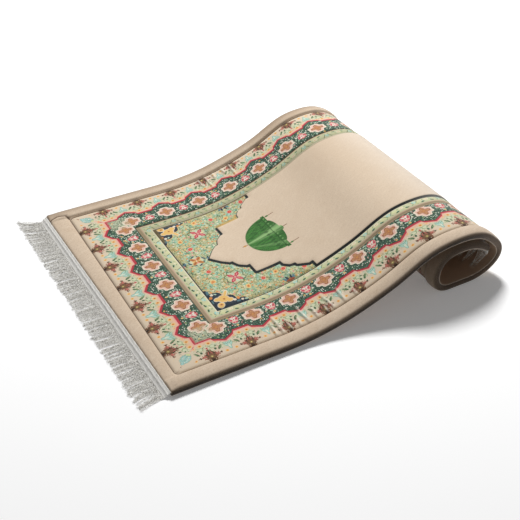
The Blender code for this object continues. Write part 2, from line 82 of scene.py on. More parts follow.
# %% The wound line
def wound_line(step=0.0005):
    """Side view of the underside: distance, x, z and heading."""
    runs = np.array([run for run, turn in RUNS])
    turns = np.radians([turn for run, turn in RUNS])
    knots = np.concatenate([[0.0], np.cumsum(runs)])
    headings = np.concatenate([[0.0], np.cumsum(turns)])
    bend = turns / runs
    slope = np.zeros(len(knots))
    for i in range(1, len(knots) - 1):
        if bend[i - 1] and bend[i]:
            both = runs[i - 1] + runs[i]
            slope[i] = (bend[i - 1] * runs[i] + bend[i] * runs[i - 1]) / both
    slope[-1] = bend[-1]
    u = np.linspace(0.0, knots[-1], int(knots[-1] / step) + 1)
    k = np.clip(np.searchsorted(knots, u, side="right") - 1, 0, len(runs) - 1)
    run = runs[k]
    t = (u - knots[k]) / run
    heading = (
        (2 * t**3 - 3 * t**2 + 1) * headings[k]
        + (t**3 - 2 * t**2 + t) * run * slope[k]
        + (3 * t**2 - 2 * t**3) * headings[k + 1]
        + (t**3 - t**2) * run * slope[k + 1]
    )
    heading = np.where(bend[k] == 0.0, headings[k], heading)
    mid = 0.5 * (heading[1:] + heading[:-1])
    gap = np.diff(u)
    x = np.concatenate([[0.0], np.cumsum(np.cos(mid) * gap)])
    z = np.concatenate([[0.0], np.cumsum(np.sin(mid) * gap)])
    return u, x, z, heading


LINE = wound_line()
print("highest point of the underside:", round(float(LINE[2].max()), 4), "m")

# %% [markdown]
# The functions below place any point of the cloth on the line. A curve modifier
# could carry a flat mesh round the roll, but it would stretch the padding where
# the line turns tightly, so each point is placed by its own height over it. The
# far side droops beside the crest, and the near side rises a little earlier.

# %% From the flat cloth to its place
def ramp(value, low, high):
    """0 below low, 1 above high, smooth between."""
    t = np.clip((value - low) / (high - low), 0.0, 1.0)
    return t * t * (3.0 - 2.0 * t)


def lift(u):
    """How fully the sideways skew of the slope applies."""
    return np.clip((u - 0.2) / 0.2, 0.0, 1.0) * np.clip((0.86 - u) / 0.2, 0.0, 1.0)


def straight_across(station, y):
    """Distance along the cloth, at y, of the straight line through a station."""
    station, y = np.broadcast_arrays(station, y)
    u = np.array(station, float)
    for _ in range(12):
        u = station + SIDE_SKEW * y * lift(u)
    return u


def droop(u, y):
    """How far the far side hangs down, beside the crest."""
    along = ramp(u, 0.45, 0.62) * ramp(-u, -0.86, -0.80)
    return FAR_DROOP * along * np.clip((y - FOLD_LINE) / DROOP_WIDTH, 0.0, 1.0)


def cloth_to_space(u, y, height):
    """Places of points of the cloth, height above its underside."""
    u, y, height = np.broadcast_arrays(
        np.asarray(u, float), np.asarray(y, float), np.asarray(height, float)
    )
    front = 1.0 - np.clip((u - CLOTH_START) / (SEAM_START - CLOTH_START), 0.0, 1.0)
    along = u - END_SKEW * y * front
    shift = -SIDE_SKEW * y * lift(along)
    where = along + shift
    x = np.interp(where, LINE[0], LINE[1]) - shift
    z = np.interp(where, LINE[0], LINE[2])
    heading = np.interp(where, LINE[0], LINE[3])
    x = x - np.sin(heading) * height
    z = np.maximum(z + np.cos(heading) * height - droop(where, y), 0.0)
    x = np.where(along < 0.0, along, x)
    return np.stack([x - MIDDLE_X, y - MIDDLE_Y, z], axis=-1)


print("far side droops by", round(float(droop(0.70, HALF_WIDTH)) * 1000.0, 1), "mm beside the crest")

# %% [markdown]
# ## The quilting
# The face is sewn through along the outer seam, both sides of the narrow strip
# and the arch. Between the seams the padding swells up. Sculpting or a cloth
# simulation could raise it too, but seams as straight as these are truer when
# the height is worked out from the distance to each of them.

# %% Sizes of the quilting
SEAM_SIDE = 0.310
SEAM_START = 0.045
SEAM_END = CLOTH_END - 0.036
SEAM_CORNER = 0.010
STRETCH = 1.165
STRIP_INSET = 0.110
STRIP_WIDTH = 0.0286
PANEL_MIDDLE = -0.0045
SIDE_ROLL = 0.0070
END_BAND = 0.0028
BORDER_PUFF = 0.0025
STRIP_PUFF = 0.0036
SPANDREL_PUFF = 0.0024
FIELD_PUFF = 0.0050
SEAM_DEPTH = 0.0016
FIELD_MIDDLE = -0.004
ARCH_FOOT = 0.0040
# half outline of the arched field: distance along the cloth, half width
ARCH = (
    (0.2720, 0.0000), (0.2920, 0.0240), (0.3080, 0.0375), (0.3145, 0.0375),
    (0.3160, 0.0435), (0.3220, 0.0555), (0.3370, 0.0675), (0.3445, 0.0675),
    (0.3445, 0.0990), (0.4070, 0.1015), (0.4080, 0.1140), (0.4195, 0.1265),
    (0.4320, 0.1290), (0.4330, 0.1365), (0.4570, 0.1525), (0.4670, 0.1515),
    (0.4670, 0.1670),
)
NEAR_PUCKERS = (0.280, 0.297, 0.318, 0.340, 0.361, 0.384, 0.408, 0.427, 0.456, 0.485)
FAR_PUCKERS = (0.397, 0.420, 0.444, 0.470, 0.495)
PUCKER_HEIGHT = 0.0017
PUCKER_WIDTH = 0.0033
BAND_SEAM = ((0.0450, 0.3080), (0.0400, 0.3210), (0.0250, 0.3270), (0.0120, 0.3230), (0.0075, 0.3180))
# how far from a seam the padding takes to reach its height
BORDER_SHOULDER = 0.014
PANEL_SHOULDER = 0.010
FIELD_SHOULDER = 0.016
INNER_SHOULDER = 0.007
STITCH_WIDTH = 0.0022
BAND_STITCH_WIDTH = 0.0032
# the field has no seam of its own along its sides, so its ring runs wide of them
OPEN_SIDE = 0.20
print("printed part:", round(SEAM_END - SEAM_START, 4), "by", 2 * SEAM_SIDE, "m")

# %% [markdown]
# Distances come first: how far a point of the flat cloth is inside the arch or
# the outer seam. They shape the padding here and place the print later.

# %% Distances to the seams
def near_line(u, y, line):
    """Distance from points to an open line."""
    nearest = np.full(np.shape(u), 1.0)
    for (u0, y0), (u1, y1) in zip(line, line[1:]):
        du, dy = u1 - u0, y1 - y0
        t = np.clip(((u - u0) * du + (y - y0) * dy) / (du * du + dy * dy), 0.0, 1.0)
        nearest = np.minimum(nearest, np.hypot(u - u0 - t * du, y - y0 - t * dy))
    return nearest


def arch_distance(u, y):
    """Distance inside (+) or outside (-) the arched field."""
    near = [(a, FIELD_MIDDLE - half) for a, half in reversed(ARCH)]
    far = [(a, FIELD_MIDDLE + half) for a, half in ARCH[1:]]
    near[0] = (near[0][0], -OPEN_SIDE)
    far[-1] = (far[-1][0], OPEN_SIDE)
    ring = near + far + [(SEAM_END, OPEN_SIDE), (SEAM_END, -OPEN_SIDE)]
    ring.append(ring[0])
    inside = np.zeros(np.shape(u), bool)
    for (u0, y0), (u1, y1) in zip(ring, ring[1:]):
        if y0 != y1:
            crosses = (y0 > y) != (y1 > y)
            inside ^= crosses & (u < u0 + (y - y0) * (u1 - u0) / (y1 - y0))
    distance = near_line(u, y, ring)
    return np.where(inside, distance, -distance)


def from_ends(u):
    """Distance in from the nearer end seam, in the print's own measure."""
    return np.minimum(u - SEAM_START, SEAM_END - u) / STRETCH


def outer_distance(u, y):
    """Distance inside (+) or outside (-) the outer seam with its round corners."""
    ends, side = from_ends(u), SEAM_SIDE - np.abs(y)
    corner = SEAM_CORNER - np.hypot(
        np.maximum(SEAM_CORNER - ends, 0.0), np.maximum(SEAM_CORNER - side, 0.0)
    )
    return np.where((ends < SEAM_CORNER) & (side < SEAM_CORNER), corner, np.minimum(ends, side))


# %% [markdown]
# The padding rises quickly beside a seam and then levels out. Where the border
# was gathered in sewing, small puckers run in from the outer seams.

# %% Height of the quilted face
def shoulder(distance, reach):
    """Quick round rise away from a seam, 0 to 1."""
    t = np.clip(distance / reach, 0.0, 1.0)
    return np.sqrt(1.0 - (1.0 - t) ** 2)


def puckers(u, y):
    """Small ridges running in from the outer seams."""
    inset = SEAM_SIDE - np.abs(y)
    total = np.zeros(np.shape(u))
    for places, side in ((NEAR_PUCKERS, -1), (FAR_PUCKERS, 1)):
        for i, place in enumerate(places):
            bend = 0.10 * np.sin(2.3 * i + 1.0) * inset
            reach = 0.062 + 0.030 * math.sin(i * 1.9)
            fade = ramp(inset, -0.010, 0.012) * ramp(-inset, -reach, -0.4 * reach)
            ridge = np.exp(-(((u - place - bend) / PUCKER_WIDTH) ** 2))
            total = total + ridge * fade * (np.sign(y) == side)
    return PUCKER_HEIGHT * total


def relief(u, y):
    """Height of the quilted face over its seam level."""
    ends = from_ends(u)
    from_side = SEAM_SIDE - np.abs(y)
    panel = np.minimum(ends, SEAM_SIDE - np.abs(y - PANEL_MIDDLE))
    outer = outer_distance(u, y)

    across = np.clip(-from_side / (HALF_WIDTH - SEAM_SIDE), 0.0, 1.0)
    roll = SIDE_ROLL * np.sqrt(1.0 - ((across - 0.48) / 0.53) ** 2) * ramp(across, 0.0, 0.16)
    along = np.clip(-ends * STRETCH / (SEAM_START - CLOTH_START), 0.0, 1.0)
    band = END_BAND * np.sin(math.pi * np.clip(along, 0.02, 0.98)) ** 0.6
    roll = roll * (1.0 - 0.45 * ramp(along, 0.3, 1.0))
    frame_height = np.maximum(roll, band * (outer < 0.0))

    border = BORDER_PUFF * shoulder(outer, BORDER_SHOULDER) * shoulder(STRIP_INSET - panel, PANEL_SHOULDER)
    over = (panel - STRIP_INSET) / STRIP_WIDTH
    strip = STRIP_PUFF * np.sin(math.pi * np.clip(over, 0.0, 1.0)) ** 0.7
    inner = panel - STRIP_INSET - STRIP_WIDTH
    side = arch_distance(u, y)
    spandrel = SPANDREL_PUFF * shoulder(inner, PANEL_SHOULDER)
    spandrel = spandrel * shoulder(-side - ARCH_FOOT, PANEL_SHOULDER)
    wall = 0.6 * ramp(side, -ARCH_FOOT, 0.0) + 0.4 * shoulder(side, FIELD_SHOULDER)
    field = FIELD_PUFF * wall * shoulder(inner, INNER_SHOULDER)
    middle = np.where(inner > 0.0, np.maximum(spandrel, field), 0.0)

    height = np.where(outer < 0.0, frame_height, 0.0)
    height = np.where((outer >= 0.0) & (panel < STRIP_INSET), border, height)
    height = np.where((over >= 0.0) & (over <= 1.0), strip, height)
    height = np.where(over > 1.0, middle, height)
    for seam in (outer, panel - STRIP_INSET, inner):
        height = height - SEAM_DEPTH * np.exp(-((seam / STITCH_WIDTH) ** 2))
    band_seam = near_line(u, y, BAND_SEAM)
    height = height - 1.6 * SEAM_DEPTH * np.exp(-((band_seam / BAND_STITCH_WIDTH) ** 2))
    return height + puckers(u, y)


side_height = relief(np.array([0.5]), np.array([0.33]))[0]
print("padded side over its seams:", round(float(side_height) * 1000.0, 1), "mm")


# %% [markdown]
# ## The velvet face as one mesh
# Rings of points go round the whole padded cloth, over the face, round the
# padded edges and back underneath. A subdivided plane with a Solidify modifier
# would do for a flat mat, but its points would fall beside the seams. Here the
# points are close where the quilting needs them and wide apart elsewhere.

# %% Spacing of the points
def graded(breaks):
    """Values from each break to the next, at about the step given."""
    values = []
    for (start, step), (end, _) in zip(breaks, breaks[1:]):
        count = max(1, round((end - start) / step))
        values += [start + (end - start) * i / count for i in range(count)]
    return values + [breaks[-1][0]]


def mirrored(half):
    """A list from the middle outward, doubled to both sides."""
    return [-value for value in reversed(half[1:])] + half


FACE_HALF = graded((
    (0.0, 0.0034), (0.160, 0.0022), (0.210, 0.0031), (0.300, 0.0020),
    (0.326, 0.0030), (0.338, 0.0021), (0.3462, 0),
))
FACE = mirrored(FACE_HALF)
SIDE = ((0.3484, 0.0138), (0.3497, 0.0108), (0.3500, 0.0072), (0.3493, 0.0040), (0.3470, 0.0019))
UNDER = mirrored(graded(((0.0, 0.0500), (0.250, 0.0470), (0.3440, 0))))
ROWS = graded((
    (CLOTH_START, 0.0012), (0.012, 0.0030), (0.040, 0.0018), (0.050, 0.0031),
    (0.170, 0.0024), (0.215, 0.0028), (0.500, 0.0040), (0.860, 0.0052),
    (SEAM_END - 0.004, 0.0020), (SEAM_END + 0.004, 0.0050), (CLOTH_END - 0.005, 0.0013),
    (CLOTH_END, 0),
))
print("points over the face:", len(FACE), "across,", len(ROWS), "along")

# %% [markdown]
# The same two helpers serve every sheet of this rug: one joins rings of points
# into a closed mesh and keeps each point's place on the flat cloth, the other
# turns the faces outward and smooths them.

# %% From rings of points to a mesh
def ring_mesh(name, rows, columns, place, flat):
    """A mesh of rows by columns, each row joined round on itself."""
    count, across = len(rows), len(columns)
    points = place(np.array(rows)[:, None], np.arange(across)[None, :])
    mesh = bpy.data.meshes.new(name)
    index = np.arange(count * across).reshape(count, across)
    ahead = np.roll(index, -1, axis=1)
    quads = np.stack([index[:-1], ahead[:-1], ahead[1:], index[1:]], axis=-1).reshape(-1, 4)
    faces = [tuple(map(int, quad)) for quad in quads]
    faces.append(tuple(map(int, index[0][::-1])))
    faces.append(tuple(map(int, index[-1])))
    mesh.from_pydata(points.reshape(-1, 3).tolist(), [], faces)
    spread = flat(np.array(rows)[:, None], np.arange(across)[None, :]).reshape(-1, 2)
    layer = mesh.uv_layers.new(name="Cloth")
    corners = np.zeros(len(mesh.loops), int)
    mesh.loops.foreach_get("vertex_index", corners)
    layer.data.foreach_set("uv", spread[corners].ravel())
    for direction, side in (("along", 0), ("across", 1)):
        values = mesh.attributes.new(direction, "FLOAT", "POINT")
        values.data.foreach_set("value", (spread[:, side] * 1000.0).astype(np.float32))
    thing = bpy.data.objects.new(mesh.name, mesh)
    bpy.context.scene.collection.objects.link(thing)
    return thing, spread


def face_outward(thing, degrees=60):
    """Normals outward, and smooth shading but for edges sharper than degrees."""
    bpy.ops.object.select_all(action="DESELECT")
    thing.select_set(True)
    bpy.context.view_layer.objects.active = thing
    bpy.ops.object.mode_set(mode="EDIT")
    bpy.ops.mesh.select_all(action="SELECT")
    bpy.ops.mesh.normals_make_consistent(inside=False)
    bpy.ops.object.mode_set(mode="OBJECT")
    bpy.ops.object.shade_smooth_by_angle(angle=math.radians(degrees))


# %% [markdown]
# The pad's section has a rounded side, and both cut ends are rounded over.

# %% Build the padded face
END_ROUND = 0.0045
ROUND_FROM = 0.0085
SIDE_FROM = 0.0160


def pad_section():
    """Across the pad: places from the middle, heights and flat distances."""
    y, level, flat_y, top = [], [], [], []
    for value in FACE:
        y.append(value)
        level.append(0.0)
        flat_y.append(value)
        top.append(1.0)
    beyond = FACE[-1]
    last = (FACE[-1], SIDE_FROM)
    for place, height in SIDE:
        beyond += math.hypot(place - last[0], height - last[1])
        last = (place, height)
        y.append(place)
        level.append(height)
        flat_y.append(beyond)
        top.append(0.0)
    for value in reversed(UNDER):
        y.append(value)
        level.append(UNDER_PAD)
        flat_y.append(value)
        top.append(0.0)
    side_flat = flat_y[len(FACE):len(FACE) + len(SIDE)]
    for (place, height), far in zip(reversed(SIDE), reversed(side_flat)):
        y.append(-place)
        level.append(height)
        flat_y.append(-far)
        top.append(0.0)
    return np.array(y), np.array(level), np.array(flat_y), np.array(top)


PAD_Y, PAD_LEVEL, PAD_FLAT, PAD_IS_TOP = pad_section()


def pad_place(station, column):
    y = PAD_Y[column]
    u = straight_across(station, y)
    height = np.where(PAD_IS_TOP[column] > 0, PAD_TOP + relief(u, y), PAD_LEVEL[column])
    gap = np.minimum(station - CLOTH_START, CLOTH_END - station)
    rounded = ROUND_FROM + (height - ROUND_FROM) * shoulder(gap, END_ROUND)
    height = np.where(height > ROUND_FROM, rounded, height)
    return cloth_to_space(u, y, height)


def pad_flat(station, column):
    y = PAD_FLAT[column]
    return np.stack(np.broadcast_arrays(straight_across(station, PAD_Y[column]), y), axis=-1)


velvet, velvet_flat = ring_mesh("rug_velvet", ROWS, PAD_Y, pad_place, pad_flat)
face_outward(velvet)
print("velvet:", len(velvet.data.polygons), "faces,", len(ROWS), "rows,", len(PAD_Y), "columns")

# %% [markdown]
# The printed outline, the stitching and the painted highlight and shade of the
# puckers follow the quilting, so the distances to it are stored on the points.

# %% Store the distances to the quilting
SHADOW_SIDE = 0.0050


def store(thing, name, values):
    layer = thing.data.attributes.new(name, "FLOAT", "POINT")
    layer.data.foreach_set("value", np.asarray(values, np.float32))


place_u, place_y = velvet_flat[:, 0], velvet_flat[:, 1]
store(velvet, "arch", arch_distance(place_u, place_y) * 1000.0)
store(velvet, "seam", outer_distance(place_u, place_y) * 1000.0)
store(velvet, "tuck", near_line(place_u, place_y, BAND_SEAM) * 1000.0)
store(velvet, "pucker", puckers(place_u, place_y) / PUCKER_HEIGHT)
store(velvet, "beside_pucker", puckers(place_u + SHADOW_SIDE, place_y) / PUCKER_HEIGHT)
print("stored:", [layer.name for layer in velvet.data.attributes if layer.domain == "POINT"])

# %% [markdown]
# ## A small kit for writing patterns
# A print is drawn by sums on the flat cloth, in millimetres. The nodes could be
# set out by hand in the node editor, but this print needs over a thousand. So a
# Wire is one value in a material's nodes, and can be added and scaled as a
# number can: each sum makes the Math node that works it out.

# %% Wire
class Wire:
    """One value running through a material."""

    def __init__(self, board, socket):
        self.board = board
        self.socket = socket

    def __add__(self, other):
        return self.board.number("ADD", self, other)

    def __radd__(self, other):
        return self.board.number("ADD", other, self)

    def __sub__(self, other):
        return self.board.number("SUBTRACT", self, other)

    def __rsub__(self, other):
        return self.board.number("SUBTRACT", other, self)

    def __mul__(self, other):
        return self.board.number("MULTIPLY", self, other)

    def __rmul__(self, other):
        return self.board.number("MULTIPLY", other, self)

    def __truediv__(self, other):
        return self.board.number("DIVIDE", self, other)

    def __pow__(self, other):
        return self.board.number("POWER", self, other)

    def __abs__(self):
        return self.board.number("ABSOLUTE", self)


# %% [markdown]
# An ink is picked as it looks on screen, from 0 to 255. Colour sockets want
# linear light, so it is turned into that first.

# %% Ink
def ink(red, green, blue):
    """A colour given as 0 to 255 on screen."""
    linear = []
    for part in (red, green, blue):
        part = part / 255.0
        linear.append(part / 12.92 if part <= 0.04045 else ((part + 0.055) / 1.055) ** 2.4)
    return (*linear, 1.0)


print("middle grey in linear light:", round(ink(128, 128, 128)[0], 3))

# %% [markdown]
# A Board holds the nodes of one material. rise and band are soft steps, wrap
# makes a repeat, and mix lays one ink over another. Map Range isn't clamped, as
# its smooth kind keeps to 0 and 1 by itself.

# %% Board
class Board:
    """The nodes of one material."""

    def __init__(self, name):
        self.material = bpy.data.materials.new(name)
        self.material.use_nodes = True
        self.nodes = self.material.node_tree.nodes
        self.links = self.material.node_tree.links
        self.shader = self.nodes["Principled BSDF"]

    def node(self, kind, **settings):
        made = self.nodes.new(kind)
        for key, value in settings.items():
            setattr(made, key, value)
        return made

    def feed(self, socket, value):
        if isinstance(value, Wire):
            self.links.new(value.socket, socket)
        else:
            socket.default_value = value

    def number(self, kind, *values):
        made = self.node("ShaderNodeMath", operation=kind)
        for socket, value in zip(made.inputs, values):
            self.feed(socket, value)
        return Wire(self, made.outputs[0])

    def low(self, a, b):
        return self.number("MINIMUM", a, b)

    def high(self, a, b):
        return self.number("MAXIMUM", a, b)

    def wrap(self, value, period, phase=0.0):
        """Distance from the nearest repeat, from -period/2 to period/2."""
        turns = (value - phase) / period + 0.5
        return (self.number("FRACT", turns) - 0.5) * period

    def rise(self, value, start, end):
        """0 before start, 1 after end, smooth between; start may be the larger."""
        made = self.node("ShaderNodeMapRange", interpolation_type="SMOOTHSTEP", clamp=False)
        self.feed(made.inputs[0], value)
        made.inputs[1].default_value = start
        made.inputs[2].default_value = end
        return Wire(self, made.outputs[0])

    def band(self, value, start, end, soft=0.6):
        return self.rise(value, start - soft, start + soft) * self.rise(value, end + soft, end - soft)

    def mix(self, under, over, mask):
        """over laid on under where mask is 1."""
        made = self.node("ShaderNodeMix", data_type="RGBA")
        self.feed(made.inputs[0], mask)
        self.feed(made.inputs[6], under)
        self.feed(made.inputs[7], over)
        return Wire(self, made.outputs[2])

    def bump(self, height, depth, strength=1.0):
        made = self.node("ShaderNodeBump")
        made.inputs["Strength"].default_value = strength
        made.inputs["Distance"].default_value = depth
        self.feed(made.inputs["Height"], height)
        self.links.new(made.outputs[0], self.shader.inputs["Normal"])

    def finish(self, colour, roughness=0.9, sheen=0.0, sheen_rough=0.4, tint=(1, 1, 1, 1)):
        self.feed(self.shader.inputs["Base Color"], colour)
        self.shader.inputs["Roughness"].default_value = roughness
        self.shader.inputs["Specular IOR Level"].default_value = 0.2
        self.shader.inputs["Sheen Weight"].default_value = sheen
        self.shader.inputs["Sheen Roughness"].default_value = sheen_rough
        self.shader.inputs["Sheen Tint"].default_value = tint
        return self.material


# %% [markdown]
# Most of the print is made of ovals, which are placed, and of noise or scattered
# cells, which fill. These are kept in a board of their own.

# %% Board with shapes and textures
class PatternBoard(Board):
    """A board that also has the shapes and textures of a print."""

    def shift(self, point, x, y, turn=0.0, scale=(1.0, 1.0, 1.0)):
        """A point moved by x, y, turned and divided by scale."""
        made = self.node("ShaderNodeMapping", vector_type="TEXTURE")
        self.feed(made.inputs[0], point)
        made.inputs[1].default_value = (x, y, 0.0)
        made.inputs[2].default_value = (0.0, 0.0, math.radians(turn))
        made.inputs[3].default_value = scale
        return Wire(self, made.outputs[0])

    def sloped(self, place, by_x, by_y, more):
        """by_x times x plus by_y times y plus more."""
        x, y = place
        if abs(by_y) > 1e-9:
            more = self.number("MULTIPLY_ADD", y, by_y, more)
        return self.number("MULTIPLY_ADD", x, by_x, more)

    def oval(self, place, x, y, wide, high, turn=0.0, soft=0.16):
        """1 inside an oval with these half sizes, turned by turn degrees."""
        c, s = math.cos(math.radians(turn)), math.sin(math.radians(turn))
        if turn:
            first = self.sloped(place, c / wide, s / wide, -(c * x + s * y) / wide)
            second = self.sloped(place, -s / high, c / high, (s * x - c * y) / high)
        else:
            first = self.sloped(place, 1.0 / wide, 0.0, -x / wide)
            second = self.number("MULTIPLY_ADD", place[1], 1.0 / high, -y / high)
        square = self.number("MULTIPLY_ADD", first, first, second * second)
        return self.rise(square, (1.0 + soft) ** 2, (1.0 - soft) ** 2)

    def noise(self, point, size, detail=2.0, rough=0.5):
        """Soft random values with features of about this size."""
        made = self.node("ShaderNodeTexNoise")
        self.feed(made.inputs["Vector"], point)
        made.inputs["Scale"].default_value = 1.0 / size
        made.inputs["Detail"].default_value = detail
        made.inputs["Roughness"].default_value = rough
        return Wire(self, made.outputs[0])

    def cells(self, point, size):
        """Scattered spots: distance to the nearest, in sizes, and its own colour."""
        made = self.node("ShaderNodeTexVoronoi", voronoi_dimensions="2D")
        self.feed(made.inputs["Vector"], point)
        made.inputs["Scale"].default_value = 1.0 / size
        return Wire(self, made.outputs["Distance"]), Wire(self, made.outputs["Color"])

    def parts_of(self, colour):
        """The red and green of a colour, as two values at random."""
        made = self.node("ShaderNodeSeparateColor")
        self.feed(made.inputs[0], colour)
        return Wire(self, made.outputs[0]), Wire(self, made.outputs[1])

    def palette(self, value, stops, hard=True):
        """A colour for each span of 0 to 1."""
        made = self.node("ShaderNodeValToRGB")
        made.color_ramp.interpolation = "CONSTANT" if hard else "LINEAR"
        elements = made.color_ramp.elements
        elements.remove(elements[1])
        elements[0].position = stops[0][0]
        elements[0].color = stops[0][1]
        for place, colour in stops[1:]:
            elements.new(place).color = colour
        self.feed(made.inputs[0], value)
        return Wire(self, made.outputs[0])


# %% [markdown]
# A print has to know where it is on the flat cloth. Each point of a mesh
# carries its distance along and across, and its distances from the seams, and
# the nodes read them. A UV map of the cloth places the noise.

# %% Reading the flat cloth
def stored(board, name):
    """A value stored on the points of the mesh."""
    return Wire(board, board.node("ShaderNodeAttribute", attribute_name=name).outputs["Fac"])


def flat_cloth(board):
    """Places on the flat cloth in millimetres: along, across, and both as a point."""
    uv = board.node("ShaderNodeUVMap", uv_map="Cloth")
    point = board.shift(Wire(board, uv.outputs[0]), 0.0, 0.0, scale=(0.001, 0.001, 0.001))
    return stored(board, "along"), stored(board, "across"), point


# %% [markdown]
# ## The print
# The border design repeats every 80 mm across the rug and, being 16 % longer
# that way, every 93 mm along it. inset is the distance in from the outer seam,
# phase the distance from the middle of the nearest repeat. All four corners
# are mitred, as both are taken from whichever side is nearer. A picture wrapped
# on the cloth would blur close up, while inks laid by distance stay sharp.

# %% Inks
BEIGE = ink(208, 188, 165)
CREAM = ink(212, 194, 170)
PEACH = ink(222, 172, 132)
HALO = ink(228, 172, 152)
PIPING = ink(178, 158, 128)
BROWN_SEAM = ink(84, 62, 46)
SPRIG_BROWN = ink(122, 84, 60)
SPRIG_DARK = ink(70, 50, 38)
OLIVE = ink(134, 126, 74)
PALE_GREEN = ink(208, 210, 150)
ROSE = ink(186, 104, 94)
ROSE_DEEP = ink(186, 70, 84)
CRIMSON = ink(176, 52, 64)
PINK = ink(226, 150, 146)
AQUA = ink(146, 192, 180)
AQUA_PALE = ink(172, 206, 192)
AQUA_DARK = ink(122, 160, 142)
ICE = ink(160, 200, 196)
ORANGE = ink(216, 136, 72)
AMBER = ink(196, 140, 76)
YELLOW = ink(226, 194, 130)
LEAF = ink(122, 148, 102)
LEAF_DARK = ink(56, 88, 60)
NIGHT = ink(30, 58, 46)
TEAL_GREEN = ink(52, 90, 72)
SPRAY = ink(168, 194, 172)
WHITE = ink(222, 222, 206)
MEDALLION_WHITE = ink(226, 214, 194)
BLUSH = ink(220, 184, 166)
RUST = ink(156, 84, 58)
STAR_EDGE = ink(150, 92, 66)
GOLD = ink(188, 140, 98)
GOLDEN = ink(224, 182, 108)
OCHRE = ink(196, 158, 88)
SAGE = ink(192, 194, 158)
SAGE_PALE = ink(200, 204, 172)
PALE_PRINT_AND_HIGHLIGHT = ink(228, 220, 194)
# pale cream of the print, also the painted highlight along the strip's inner edge
NAVY = ink(38, 52, 66)
BLUE_GREY = ink(86, 122, 132)
OUTLINE = ink(40, 48, 52)
LAMP_GREEN = ink(64, 126, 54)
LAMP_LIGHT = ink(150, 192, 126)
LAMP_DARK = ink(26, 72, 30)
print("the beige ink in linear light:", [round(part, 3) for part in BEIGE[:3]])

# %% [markdown]
# Every motif of the border is placed by the distance in from the seam and by
# the phase of the repeat. On the near side the cloth was pulled a little while
# it was gathered, so the repeats there are shifted a few millimetres.

# %% Places in the border
REPEAT_ACROSS = 79.9
REPEAT_ALONG = 93.0
MEDALLION_ACROSS = -43.9
MEDALLION_ALONG = 173.5
HALF_REPEAT = REPEAT_ACROSS / 2.0
PULLED = 3.8
MM = 1000.0


def border_places(board, u, y):
    """Distances in from the sides, the phase of the repeat and which rows run across."""
    start = (u - SEAM_START * MM) / STRETCH
    end = (SEAM_END * MM - u) / STRETCH
    ends = board.low(start, end)
    sides = SEAM_SIDE * MM - abs(y)
    inset = board.low(ends, sides)
    corner = board.high(ends, sides)
    panel = board.low(ends, SEAM_SIDE * MM - abs(y - PANEL_MIDDLE * MM))
    across = board.number("LESS_THAN", ends, sides)
    pulled = board.rise(u, 255.0, 175.0) * board.rise(y, 60.0, -60.0) * PULLED
    along_phase = board.wrap(u - pulled, REPEAT_ALONG, MEDALLION_ALONG)
    along_phase = along_phase * (REPEAT_ACROSS / REPEAT_ALONG)
    across_phase = board.wrap(y, REPEAT_ACROSS, MEDALLION_ACROSS)
    phase = along_phase + (across_phase - along_phase) * across
    return inset, abs(phase), across, corner, panel


print("repeats on a short side:", round(2 * SEAM_SIDE * MM / REPEAT_ACROSS, 1))

# %% [markdown]
# A motif is a pile of ovals, from the largest down. Each row gives its middle,
# its half sizes, its turn and its ink. Sprigs and lozenges are pointed stars.

# %% Ovals and stars
def laid(board, paint, place, motifs, soft=0.16):
    """Ovals laid one over another: x, y, half sizes, turn and ink of each."""
    for x, y, wide, high, turn, colour in motifs:
        paint = board.mix(paint, colour, board.oval(place, x, y, wide, high, turn, soft))
    return paint


def star(board, place, x, y, wide, high, power=0.7):
    """A four-pointed star's measure: under 1 inside."""
    across = abs(board.sloped(place, 1.0 / wide, 0.0, -x / wide)) ** power
    up = abs(board.number("MULTIPLY_ADD", place[1], 1.0 / high, -y / high)) ** power
    return across + up


# %% [markdown]
# The outer part of the border is cream. A pale bud stands on each repeat, with
# leaves, curls and small orange blooms beside it.

